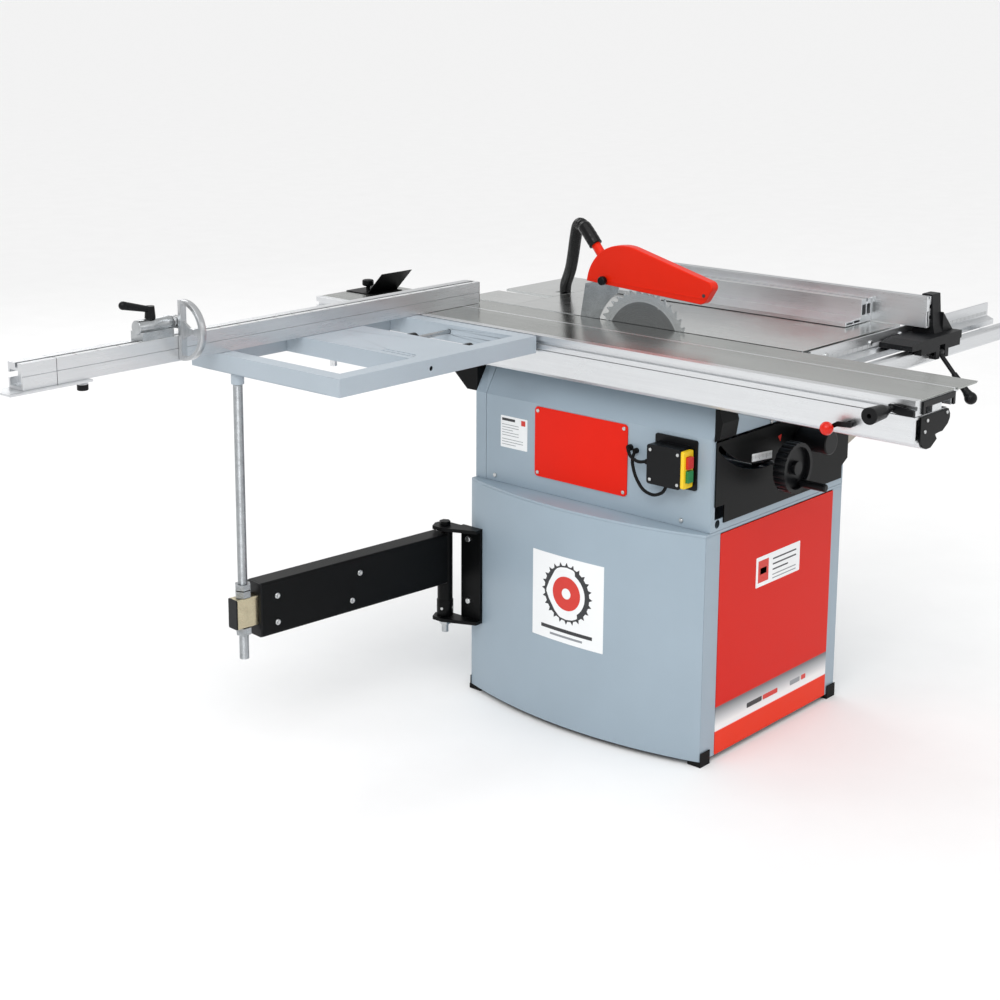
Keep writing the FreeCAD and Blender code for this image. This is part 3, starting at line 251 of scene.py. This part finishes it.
BLADE_CENTRE = (-113, 0, 823.6)
POLISHED_RADIUS = 0.0975
looks = {
    "cabinet": finish_of("cabinet_grey", srgb("#97a7b3"), 0.42, grain=1500, relief=0.10, mottle=0.025,
                         coat=0.1),
    "outrigger": finish_of("outrigger_grey", srgb("#a6b1ba"), 0.40, grain=1500, relief=0.10, mottle=0.03,
                           coat=0.1),
    "red": finish_of("red_paint", srgb("#de1d08"), 0.36, grain=1300, relief=0.10, mottle=0.03, shine=0.15),
    "guard": finish_of("guard_moulding", srgb("#dc2408"), 0.32, grain=2600, relief=0.10, mottle=0.04,
                       shine=0.2),
    "door": door_paint(),
    "black_paint": finish_of("black_paint", srgb("#070809"), 0.38, grain=1400, relief=0.2, mottle=0.10,
                             shine=0.12),
    "black_plastic": finish_of("black_plastic", srgb("#0e0f11"), 0.34, grain=2400, relief=0.18, mottle=0.12,
                               shine=0.18),
    "rubber": finish_of("rubber_black", srgb("#121212"), 0.6, grain=1700, relief=0.3, mottle=0.15, shine=0.12),
    "table": ground_metal("ground_cast_table", srgb("#d2d4d3"), 0.22, "y", 0.35, 0.35, 0.10),
    "slider_steel": ground_metal("ground_steel_top", srgb("#a9aca9"), 0.20, "y", 0.45, 0.5, 0.20),
    "alu_y": ground_metal("anodised_y", srgb("#dfe1e3"), 0.32, "y", 0.25, 0.3, 0.05),
    "alu_x": ground_metal("anodised_x", srgb("#d9dbdd"), 0.32, "x", 0.25, 0.3, 0.05),
    "alu_z": ground_metal("cast_alu", srgb("#c4c6c8"), 0.30, "z", 0.3, 0.1, 0.10),
    "zinc": finish_of("zinc_plate", srgb("#b8bbbd"), 0.30, 1.0, 700, 0.15, mottle=0.10, patch=45, swing=0.08),
    "thread": threaded_zinc("threaded_zinc", srgb("#b4b8bb"), 0.0025),
    "screw": finish_of("screw_zinc", srgb("#c4c6c6"), 0.28, 1.0, 900, 0.15, mottle=0.10, patch=60, swing=0.08),
    "blade": turned_steel("blade_steel", srgb("#c3c5c6"), mm(*BLADE_CENTRE), POLISHED_RADIUS, 0.26),
    "cast_black": finish_of("cast_black", srgb("#121315"), 0.46, grain=800, relief=0.5, mottle=0.15,
                            shine=0.18),
    "motor": finish_of("motor_paint", srgb("#4c545c"), 0.45, grain=700, relief=0.4, mottle=0.08),
    "yellow": finish_of("yellow_moulding", srgb("#f0c818"), 0.34, grain=2200, relief=0.1, mottle=0.03),
    "button_red": finish_of("button_red", srgb("#c4261f"), 0.3, grain=2200, relief=0.1, mottle=0.04),
    "button_green": finish_of("button_green", srgb("#1d7a3e"), 0.3, grain=2200, relief=0.1, mottle=0.04),
    "ball": finish_of("ball_red", srgb("#d01c0a"), 0.18, grain=900, relief=0.03, mottle=0.04, shine=0.35),
    "gold_zinc": finish_of("gold_zinc", srgb("#c2b89c"), 0.30, 1.0, 700, 0.15, mottle=0.12, patch=30,
                           swing=0.08),
    "hose": finish_of("hose_black", srgb("#08080a"), 0.22, grain=1800, relief=0.15, mottle=0.12, shine=0.25),
    "beige": finish_of("gusset_paint", srgb("#a39c90"), 0.42, grain=1400, relief=0.12, mottle=0.04),
    "white": finish_of("label_white", srgb("#eef0f1"), 0.40, grain=2000, relief=0.04, mottle=0.02),
    "ink_dark": finish_of("label_dark", srgb("#2b2d30"), 0.42, grain=2000, relief=0.04, mottle=0.05),
    "ink_grey": finish_of("label_grey", srgb("#8d9296"), 0.42, grain=2000, relief=0.04, mottle=0.05),
    "ink_red": finish_of("label_red", srgb("#cf3025"), 0.42, grain=2000, relief=0.04, mottle=0.05),
    "rule_x": scale_print("rule_x", srgb("#d9dbdc"), srgb("#222426"), "X", 0.005, 10),
    "rule_fine": scale_print("rule_fine", srgb("#c9cbcc"), srgb("#6a6d70"), "X", 0.002, 10),
}

LOOK_OF = {
    "cabinet": ("cabinet_frame", "cabinet_left_panel", "cabinet_rear_wrap", "casing_left_wall",
                "casing_rear_wrap", "casing_front_frame"),
    "door": ("front_door_panel",),
    "red": ("service_plate",),
    "guard": ("blade_guard",),
    "black_paint": ("control_panel", "slider_fittings", "arm_bracket", "arm_tube", "edging_shoe"),
    "black_plastic": ("switch_box", "dust_chute", "tilt_knob", "handwheel", "guard_knob", "carriage_ends",
                      "push_handle", "stop_lever", "rip_lever", "rip_knob"),
    "rubber": ("corner_feet", "switch_leads", "drive_belt"),
    "table": ("main_table", "rear_extension"),
    "slider_steel": ("carriage_top",),
    "alu_y": ("slider_base", "carriage_profile", "rip_profiles"),
    "alu_x": ("scale_rail", "rail_tube", "crosscut_fence", "fence_extension"),
    "alu_z": ("flip_stop",),
    "zinc": ("riving_knife", "cam_clamp_front", "cam_clamp_rear", "stop_carrier"),
    "thread": ("support_rod",),
    "gold_zinc": ("arm_slide",),
    "screw": ("machine_screws",),
    "blade": ("saw_blade", "arbor", "motor_pulley"),
    "cast_black": ("trunnion_segments", "tilt_carrier", "lift_plate", "rip_head"),
    "motor": ("motor",),
    "yellow": ("switch_faceplate",),
    "button_red": ("stop_button",),
    "button_green": ("start_button",),
    "ball": ("lock_lever",),
    "hose": ("dust_hose",),
    "beige": ("table_gusset",),
    "outrigger": ("outrigger_frame",),
}
# Thin or finely faceted nodes are only creased. Every other CAD node gets a small rounded edge.
SHARP = ("saw_blade", "machine_screws", "switch_leads", "dust_hose", "drive_belt", "riving_knife",
         "support_rod")
CREASE_ANGLE = math.radians(32)
EDGE_ANGLE = math.radians(38)
EDGE_WIDTH = 0.0007
WELD_DISTANCE = 0.00002

for look, names in LOOK_OF.items():
    for name in names:
        node = nodes[name]
        node.data.materials.clear()
        node.data.materials.append(looks[look])
        if name in SHARP:
            node.modifiers.new("crease", "EDGE_SPLIT").split_angle = CREASE_ANGLE
            continue
        weld = node.modifiers.new("weld", "WELD")
        weld.merge_threshold = WELD_DISTANCE
        bevel = node.modifiers.new("edge", "BEVEL")
        bevel.width = EDGE_WIDTH
        bevel.segments = 2
        bevel.limit_method = "ANGLE"
        bevel.angle_limit = EDGE_ANGLE
        bevel.harden_normals = True
        bevel.use_clamp_overlap = True


def two_tone(name, look, where):
    """Give the faces of a CAD node whose middle passes the test a second material."""
    mesh = nodes[name].data
    mesh.materials.append(looks[look])
    index = len(mesh.materials) - 1
    for face in mesh.polygons:
        if where(face.center * 1000 - SHIFT):
            face.material_index = index


# The part that gets the second material: the ball's arm and pin, the boss under the outrigger, the
# lever's stem, each clamp's knob and paddle, the knob under the foot, the wheel's shaft and hub with the
# back of its rim, and the bolt's end under the bracket.
two_tone("lock_lever", "black_plastic", lambda p: p.x > -371)
two_tone("support_rod", "outrigger", lambda p: p.z > 780)
two_tone("stop_lever", "zinc", lambda p: p.z < 960)
two_tone("cam_clamp_front", "black_plastic", lambda p: p.x < -497)
two_tone("cam_clamp_rear", "black_plastic", lambda p: p.x < -497)
two_tone("fence_extension", "black_plastic", lambda p: p.z < 857)
two_tone("handwheel", "zinc", lambda p: p.y > -380)
two_tone("arm_bracket", "zinc", lambda p: p.z < 171.5)


# Mesh helpers

class Solids:
    """Collects several closed solids into one piece, each with its own material."""

    def __init__(self):
        self.vertices, self.faces, self.looks, self.marks = [], [], [], []

    def add(self, vertices, faces, look):
        base = len(self.vertices)
        self.vertices += [Vector(v) for v in vertices]
        self.faces += [[i + base for i in face] for face in faces]
        if look not in self.looks:
            self.looks.append(look)
        self.marks += [self.looks.index(look)] * len(faces)

    def plate(self, outline, out, thick, look):
        """A flat plate: outline of (x, y, z) points, raised by thick along out."""
        low = [Vector(p) for p in outline]
        high = [p + Vector(out) * thick for p in low]
        count = len(low)
        faces = [list(range(count))[::-1], [i + count for i in range(count)]]
        faces += [[i, (i + 1) % count, (i + 1) % count + count, i + count] for i in range(count)]
        self.add(low + high, faces, look)

    def turned(self, start, axis, profile, look, count=28):
        """A solid of revolution: profile of (distance along axis, radius)."""
        axis = Vector(axis).normalized()
        side = axis.orthogonal().normalized()
        other = axis.cross(side)
        vertices, faces = [], []
        for distance, radius in profile:
            for index in range(count):
                a = 2 * math.pi * index / count
                spoke = (side * math.cos(a) + other * math.sin(a)) * radius
                vertices.append(Vector(start) + axis * distance + spoke)
        for ring in range(len(profile) - 1):
            for index in range(count):
                a, b = ring * count + index, ring * count + (index + 1) % count
                faces.append([a, b, b + count, a + count])
        faces.append(list(range(count))[::-1])
        faces.append([(len(profile) - 1) * count + i for i in range(count)])
        self.add(vertices, faces, look)

    def piece(self, name, body, slot, bevel=0.0, smooth=False):
        mesh = bpy.data.meshes.new(name)
        mesh.from_pydata([tuple(mm(*v)) for v in self.vertices], [], self.faces)
        mesh.validate()
        piece = bpy.data.objects.new(name, mesh)
        bpy.context.scene.collection.objects.link(piece)
        for look in self.looks:
            mesh.materials.append(looks[look])
        for face, mark in zip(mesh.polygons, self.marks):
            face.material_index = mark
        if smooth:
            mesh.polygons.foreach_set("use_smooth", [True] * len(mesh.polygons))
        if bevel:
            modifier = piece.modifiers.new("edge", "BEVEL")
            modifier.width = bevel
            modifier.segments = 3
            modifier.limit_method = "ANGLE"
            modifier.harden_normals = True
        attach(piece, body)


def rounded_rect(u0, u1, v0, v1, radius, steps=5):
    points = []
    for cu, cv, start in ((u1 - radius, v1 - radius, 0), (u0 + radius, v1 - radius, 90),
                          (u0 + radius, v0 + radius, 180), (u1 - radius, v0 + radius, 270)):
        for index in range(steps + 1):
            a = math.radians(start + 90 * index / steps)
            points.append((cu + radius * math.cos(a), cv + radius * math.sin(a)))
    return points


# Labels, all generic: plain bars stand for print

def label(solids, place, u0, u1, v0, v1, bars, radius=2.0):
    """A thin label in the plane given by place(u, v, lift), with bars of (u0, u1, v0, v1, look)."""
    outline = [place(u, v, 0.05) for u, v in rounded_rect(u0, u1, v0, v1, radius)]
    out = (Vector(place(0, 0, 1)) - Vector(place(0, 0, 0))).normalized()
    solids.plate(outline, out, 0.25, "white")
    for a, b, c, d, look in bars:
        solids.plate([place(u, v, 0.3) for u, v in rounded_rect(a, b, c, d, 0.4, 2)], out, 0.08, look)


def bars_of(u0, u1, v_top, count, step, look, width):
    """Bars for count lines of print, every third one short."""
    rows = []
    for index in range(count):
        short = 0.62 if index % 3 == 2 else 0.94
        rows.append((u0, u0 + (u1 - u0) * short, v_top - index * step - width, v_top - index * step, look))
    return rows


CASING_LEFT, DOOR_FRONT, PANEL_FRONT = -304.2, -326.6, -328.7


def on_casing(u, v, lift):
    return (CASING_LEFT - lift, -u, v)


def on_door(u, v, lift):
    return (u, DOOR_FRONT - lift, v)


casing_label = Solids()
label(casing_label, on_casing, -246, -168, 590, 662,
      [(-242, -204, 651, 657, "ink_dark"), (-186, -174, 646, 658, "ink_red")]
      + bars_of(-242, -190, 643, 5, 6.0, "ink_grey", 1.4) + bars_of(-242, -176, 610, 3, 6.0, "ink_grey", 1.4))
casing_label.piece("casing_label", "machine", "light_grey_paint")

door_label = Solids()
label(door_label, on_door, -132, 39, 345, 412,
      bars_of(-68, 30, 398, 3, 12, "ink_dark", 3.4) + bars_of(-68, 30, 362, 2, 8, "ink_grey", 2.4)
      + [(-124, -84, 354, 403, "ink_red"), (-116, -92, 372, 386, "white")])
door_label.piece("door_label", "machine", "red_paint")

band_mark = Solids()
for u0, u1, look in ((-150, -92, "ink_dark"), (-88, -30, "ink_red"), (20, 60, "ink_grey"), (66, 84, "ink_red")):
    band_mark.plate([on_door(u, v, 0.02) for u, v in rounded_rect(u0, u1, 80, 91, 2, 3)], (0, -1, 0), 0.2, look)
band_mark.piece("band_marks", "machine", "red_paint")

# Big sticker on the bowed side: a saw-blade roundel over two bars
BOW_RADIUS, BOW_X, BOW_Y = 1066.35, 697.45, -2.7
ROUNDEL_Y, ROUNDEL_Z = -1.5, 318
TOOTH_TIP, TOOTH_ROOT = 70, 62


def on_bow(u, v, lift):
    """A place on the bowed side: u along Y, v the height, lift outwards."""
    angle = (u - BOW_Y) / BOW_RADIUS
    radius = BOW_RADIUS + lift
    return Vector((BOW_X - radius * math.cos(angle), BOW_Y + radius * math.sin(angle), v))


def on_roundel(radius, turn, lift):
    return on_bow(ROUNDEL_Y + radius * math.cos(turn), ROUNDEL_Z + radius * math.sin(turn), lift)


def bowed_plate(solids, u0, u1, v0, v1, lift, thick, look):
    """A thin plate that follows the bow, in flat columns."""
    columns = 12
    vertices, faces = [], []
    for index in range(columns + 1):
        u = u0 + (u1 - u0) * index / columns
        vertices += [on_bow(u, v0, lift), on_bow(u, v1, lift)]
        vertices += [on_bow(u, v1, lift + thick), on_bow(u, v0, lift + thick)]
    for index in range(columns):
        a, b = index * 4, index * 4 + 4
        faces += [[a, a + 1, b + 1, b], [a + 2, a + 3, b + 3, b + 2], [a + 1, a + 2, b + 2, b + 1],
                  [a + 3, a, b, b + 3]]
    faces += [[3, 2, 1, 0], [columns * 4 + i for i in range(4)]]
    solids.add(vertices, faces, look)


sticker = Solids()
bowed_plate(sticker, -100, 97, 205, 399, 0.05, 0.3, "white")
toothed = [on_roundel(TOOTH_ROOT if index % 4 else TOOTH_TIP, 2 * math.pi * index / 96, 0.4)
           for index in range(96)]
sticker.plate(toothed, (-1, 0, 0), 0.12, "ink_dark")
for radius, look, lift in ((50, "white", 0.6), (38, "ink_red", 0.8), (12, "white", 1.0)):
    disc = [on_roundel(radius, 2 * math.pi * index / 60, lift) for index in range(60)]
    sticker.plate(disc, (-1, 0, 0), 0.12, look)
bowed_plate(sticker, -72, 70, 228, 236, 0.35, 0.12, "ink_dark")
bowed_plate(sticker, -46, 44, 216, 221, 0.35, 0.12, "ink_grey")
sticker.piece("side_sticker", "machine", "light_grey_paint")

# Angle scale over the hand wheel's slot, and its pointer
SCALE_LEFT, SCALE_FALL = -166, 0.08
BAR_LEFT, BAR_STEP, BAR_WIDTH = -164, 5.2, 0.7


def on_panel(u, v, lift):
    """A place on the control panel, on lines that fall towards the right."""
    return (u, PANEL_FRONT - lift, v - SCALE_FALL * (u - SCALE_LEFT))


angle_scale = Solids()
scale_bars = [(BAR_LEFT + BAR_STEP * index, BAR_LEFT + BAR_WIDTH + BAR_STEP * index,
               640 - (6 if index % 5 == 0 else 3), 644, "ink_dark") for index in range(15)]
label(angle_scale, on_panel, SCALE_LEFT, -90, 631, 648, scale_bars, 1.5)
angle_scale.piece("angle_scale", "machine", "black_paint")

pointer = Solids()
pointer.plate([(-70, -328.8, 668), (-57, -328.8, 671), (-61, -328.8, 656)], (0, -1, 0), 1.2, "ink_red")
pointer.piece("angle_pointer", "machine", "red_paint", 0.0003)

# Printed rules: on top of the crosscut fence and on the front rail
FENCE_TOP, RAIL_FACE = 919.25, -422.05
rule = Solids()
rule.plate([(x, y, FENCE_TOP) for x, y in ((-1318, 450.9), (-155, 450.9), (-155, 463.6), (-1318, 463.6))],
           (0, 0, 1), 0.2, "rule_x")
rule.piece("fence_rule", "crosscut", "anodised")
rail_rule = Solids()
rail_rule.plate([(x, RAIL_FACE, z) for x, z in ((-60, 842), (670, 842), (670, 850), (-60, 850))],
                (0, -1, 0), 0.2, "rule_fine")
rail_rule.piece("rail_rule", "machine", "anodised")

# End cap of the crosscut fence, in two steps
fence_end = Solids()
fence_end.plate([(-152.1, y, z) for y, z in rounded_rect(450.6, 495.2, 869.6, 919, 2)],
                (1, 0, 0), 2.4, "black_plastic")
fence_end.plate([(-149.7, y, z) for y, z in rounded_rect(458, 486, 878, 911, 3)],
                (1, 0, 0), 1.2, "black_plastic")
fence_end.piece("fence_end_cap", "crosscut", "black_plastic", 0.0006)

# Swing arm: end plate, cap of the inner tube and screws, along the arm's own line
ARM_PIVOT, ROD_PLACE = (-362, 363), (-916, 417)
ARM_TURN = math.atan2(ROD_PLACE[1] - ARM_PIVOT[1], ARM_PIVOT[0] - ROD_PLACE[0])
ARM_REACH = math.hypot(ARM_PIVOT[0] - ROD_PLACE[0], ROD_PLACE[1] - ARM_PIVOT[1])
SET_SCREW_RADIUS, SET_SCREW_Z = 18.6, 200


def on_arm(t, side, z):
    """A place on the arm: t from its pivot, side towards +Y, z up."""
    c, s = math.cos(ARM_TURN), math.sin(ARM_TURN)
    return (ARM_PIVOT[0] - t * c + side * s, ARM_PIVOT[1] + t * s + side * c, z)


arm_out = Vector(on_arm(1, 0, 0)) - Vector(on_arm(0, 0, 0))
arm_side = Vector(on_arm(0, 1, 0)) - Vector(on_arm(0, 0, 0))
collar = Solids()
outer = rounded_rect(-24.6, 24.6, 264.4, 381.6, 5)
inner = rounded_rect(-15.6, 15.6, 290.4, 355.6, 2.5)
t0, t1 = ARM_REACH - 32.5, ARM_REACH - 27.0
count = len(outer)
ring = [on_arm(t, s, z) for t in (t0, t1) for loop in (outer, inner) for s, z in loop]
faces = []
for i in range(count):
    j = (i + 1) % count
    faces += [[i, j, j + 2 * count, i + 2 * count], [j + count, i + count, i + 3 * count, j + 3 * count],
              [j, i, i + count, j + count], [i + 2 * count, j + 2 * count, j + 3 * count, i + 3 * count]]
collar.add(ring, faces, "black_plastic")
collar.piece("arm_end_collar", "arm", "black_plastic", 0.0008)
arm_cap = Solids()
arm_cap.plate([on_arm(ARM_REACH + 24.2, s, z) for s, z in rounded_rect(-15, 15, 291, 355, 3)],
              arm_out, 3, "black_plastic")
arm_cap.piece("arm_inner_cap", "arm_inner", "black_plastic", 0.0008)
arm_screws = Solids()
for turn in (20, 110, 200, 290):
    way = Vector((math.cos(math.radians(turn)), math.sin(math.radians(turn)), 0))
    arm_screws.turned(Vector((*ARM_PIVOT, SET_SCREW_Z)) + way * SET_SCREW_RADIUS, way,
                      [(0, 3.5), (1.2, 3.5), (1.6, 2.8)], "screw", 18)
for t, z in ((488, 348), (488, 290), (268, 348), (290, 290)):
    arm_screws.turned(on_arm(t, -24.8, z), -arm_side,
                      [(0, 6.5), (2.4, 6.5), (3.6, 5.4), (4.0, 3.2), (2.2, 2.9)], "screw")
arm_screws.piece("arm_screws", "arm", "zinc", 0.0, True)

# Blade: a carbide tip on every tooth
TEETH, TIP_ROOT_RADIUS, TIP_WIDTH = 40, 119.0, 3.0
tips = Solids()
for index in range(TEETH):
    a = 2 * math.pi * index / TEETH
    out = Vector((0, math.cos(a), math.sin(a)))
    round_way = Vector((0, -math.sin(a), math.cos(a)))
    root = Vector(BLADE_CENTRE) + out * TIP_ROOT_RADIUS
    corners = (root - round_way * 0.2, root + out * 6.0 - round_way * 0.2,
               root + out * 5.7 + round_way * 2.6, root + round_way * 2.2)
    outline = [corner - Vector((TIP_WIDTH / 2, 0, 0)) for corner in corners]
    tips.plate(outline, (1, 0, 0), TIP_WIDTH, "zinc")
tips.piece("carbide_tips", "blade", "blade_steel")

# Guard: a moulded rib and a dark dot on each side
RIB = ((-172, 949), (138, 959), (138, 962), (-172, 952))
DOT_Y, DOT_Z, DOT_RADIUS = -167, 957, 4
guard_ribs = Solids()
for x, out in ((-125.05, (-1, 0, 0)), (-100.95, (1, 0, 0))):
    guard_ribs.plate([(x, y, z) for y, z in RIB], out, 0.8, "guard")
    turns = [2 * math.pi * index / 24 for index in range(24)]
    dot = [(x, DOT_Y + DOT_RADIUS * math.cos(a), DOT_Z + DOT_RADIUS * math.sin(a)) for a in turns]
    guard_ribs.plate(dot, out, 1.2, "ink_dark")
guard_ribs.piece("guard_mouldings", "guard", "guard_red", 0.0005)

# Dust hose: a corrugated tube that follows the route in part.py
HOSE_POINTS = [
    (-113, 136, 1035), (-112, 156, 1058), (-105, 182, 1077), (-84, 212, 1071), (-50, 246, 1030),
    (-10, 284, 985), (34, 326, 944), (70, 364, 914), (95, 393, 888), (110, 404, 856), (106, 408, 800),
    (90, 403, 752), (88, 402, 700)]
HOSE_RADIUS, HOSE_PITCH = 0.014, 0.0084
CUFF_RADIUS, CUFF_PITCH = 0.0153, 0.012
curve = bpy.data.curves.new("hose_route", "CURVE")
curve.dimensions = "3D"
spline = curve.splines.new("NURBS")
spline.points.add(len(HOSE_POINTS) - 1)
for point, place in zip(spline.points, HOSE_POINTS):
    point.co = (*mm(*place), 1.0)
spline.order_u = 3
spline.use_endpoint_u = True
curve.resolution_u = 24
route_object = bpy.data.objects.new("hose_route", curve)
bpy.context.scene.collection.objects.link(route_object)
bpy.context.view_layer.update()
route = [v.co.copy() for v in bpy.data.meshes.new_from_object(route_object).vertices]
bpy.data.objects.remove(route_object)


def even(points, step):
    """Points along the line, evenly step apart, ends included."""
    lengths = [0.0]
    for a, b in zip(points, points[1:]):
        lengths.append(lengths[-1] + (b - a).length)
    total = lengths[-1]
    count = max(2, round(total / step))
    made, index = [], 0
    for number in range(count + 1):
        goal = total * number / count
        while index < len(points) - 2 and lengths[index + 1] < goal:
            index += 1
        part = (goal - lengths[index]) / (lengths[index + 1] - lengths[index])
        made.append(points[index].lerp(points[index + 1], part))
    return made


def ribbed_tube(name, points, radius, pitch, heights):
    """A tube along points whose radius runs through the four heights once each pitch."""
    around = 32
    line = even(points, pitch / 4)
    side = (line[1] - line[0]).orthogonal().normalized()
    vertices, faces = [], []
    for index, place in enumerate(line):
        ahead = line[min(index + 1, len(line) - 1)] - line[max(index - 1, 0)]
        ahead.normalize()
        side = (side - ahead * side.dot(ahead)).normalized()
        other = ahead.cross(side)
        r = radius * heights[index % 4]
        for number in range(around):
            a = 2 * math.pi * number / around
            vertices.append(place + (side * math.cos(a) + other * math.sin(a)) * r)
    for ring_index in range(len(line) - 1):
        for number in range(around):
            a, b = ring_index * around + number, ring_index * around + (number + 1) % around
            faces.append([a, b, b + around, a + around])
    faces.append(list(range(around))[::-1])
    faces.append([(len(line) - 1) * around + i for i in range(around)])
    mesh = bpy.data.meshes.new(name)
    mesh.from_pydata([tuple(v) for v in vertices], [], faces)
    mesh.polygons.foreach_set("use_smooth", [True] * len(mesh.polygons))
    mesh.materials.append(looks["hose"])
    piece = bpy.data.objects.new(name, mesh)
    bpy.context.scene.collection.objects.link(piece)
    return piece


# The hose is built as a moulded cuff, an upper stretch and a long lower one. The marks are the ends of the
# cuff, of the upper stretch and of the lower one's bend. Each piece overlaps the next, so no gap shows.
whole = even(route, 0.002)
marks = [round(len(whole) * part) for part in (0.075, 0.36, 0.61)]
cuff = ribbed_tube("hose_cuff", whole[:marks[0] + 5], CUFF_RADIUS, CUFF_PITCH, (1.0, 1.0, 0.97, 1.0))
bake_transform(cuff)
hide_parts("dust_hose")
upper, lower = whole[marks[0]:marks[1] + 1], whole[marks[1] - 1:]
for name, stretch, bodies, end in (("hose_upper", upper, ("lift_unit", "tilt_unit"), upper[-1]),
                                   ("hose_lower", lower, ("tilt_unit", "machine"), whole[marks[2]])):
    piece = ribbed_tube(name, stretch, HOSE_RADIUS, HOSE_PITCH, (1.0, 0.96, 0.82, 0.96))
    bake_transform(piece)
    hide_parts("dust_hose")

# Floor, light and camera
FLOOR_REACH = 300
WORLD_STRENGTH = 0.70
SKY_STRENGTH, SKY_ANGLE = 1.15, math.radians(70)
CAMERA_PLACE = mm(-3232.6, -2337.4, 1619.7)
YAW, PITCH, ROLL = math.radians(48.54), math.radians(-11.73), math.radians(0.30)
SENSOR, LENS, SHIFT_Y = 36, 64.95, -0.15

floor_mesh = bpy.data.meshes.new("floor")
corners = [(x * FLOOR_REACH, y * FLOOR_REACH, 0) for x, y in ((-1, -1), (1, -1), (1, 1), (-1, 1))]
floor_mesh.from_pydata(corners, [], [(0, 1, 2, 3)])
floor = bpy.data.objects.new("floor", floor_mesh)
bpy.context.scene.collection.objects.link(floor)
floor_mesh.materials.append(finish_of("floor_pale", srgb("#f4f4f4"), 0.7, grain=60, relief=0.0, mottle=0.01))

world = bpy.data.worlds.new("studio")
world.use_nodes = True
world.node_tree.nodes["Background"].inputs["Color"].default_value = (1.0, 1.0, 1.0, 1)
world.node_tree.nodes["Background"].inputs["Strength"].default_value = WORLD_STRENGTH
bpy.context.scene.world = world
bpy.context.scene.view_settings.view_transform = "Standard"


def area_light(name, place, target, size, power):
    data = bpy.data.lights.new(name, "AREA")
    data.shape = "RECTANGLE"
    data.size, data.size_y = size
    data.energy = power
    lamp = bpy.data.objects.new(name, data)
    bpy.context.scene.collection.objects.link(lamp)
    lamp.location = place
    lamp.rotation_mode = "QUATERNION"
    lamp.rotation_quaternion = (Vector(target) - Vector(place)).to_track_quat("-Z", "Y")


area_light("key", (-3.4, -1.6, 3.6), (0.1, 0, 0.6), (2.6, 2.0), 55)
area_light("front", (2.2, -4.2, 2.4), (0.3, 0, 0.5), (2.4, 1.8), 12)
area_light("rear", (0.8, 4.0, 3.4), (0, 0, 0.8), (3.4, 1.4), 40)
sun_data = bpy.data.lights.new("sky", "SUN")
sun_data.energy = SKY_STRENGTH
sun_data.angle = SKY_ANGLE
sun = bpy.data.objects.new("sky", sun_data)
bpy.context.scene.collection.objects.link(sun)
sun.rotation_mode = "QUATERNION"
sun.rotation_quaternion = Vector((0.5, 0.35, -1.0)).to_track_quat("-Z", "Y")

forward = Vector((math.sin(YAW) * math.cos(PITCH), math.cos(YAW) * math.cos(PITCH), math.sin(PITCH)))
right = Vector((math.cos(YAW), -math.sin(YAW), 0))
up = right.cross(forward)
right, up = (right * math.cos(ROLL) + up * math.sin(ROLL), up * math.cos(ROLL) - right * math.sin(ROLL))
camera_data = bpy.data.cameras.new("camera")
camera_data.sensor_width = SENSOR
camera_data.lens = LENS
camera_data.shift_y = SHIFT_Y
camera_data.clip_start, camera_data.clip_end = 0.05, 3 * FLOOR_REACH
camera = bpy.data.objects.new("camera", camera_data)
bpy.context.scene.collection.objects.link(camera)
turn = Matrix((right, up, -forward)).transposed().to_4x4()
camera.matrix_world = Matrix.Translation(CAMERA_PLACE) @ turn
bpy.context.scene.camera = camera

bpy.context.view_layer.update()
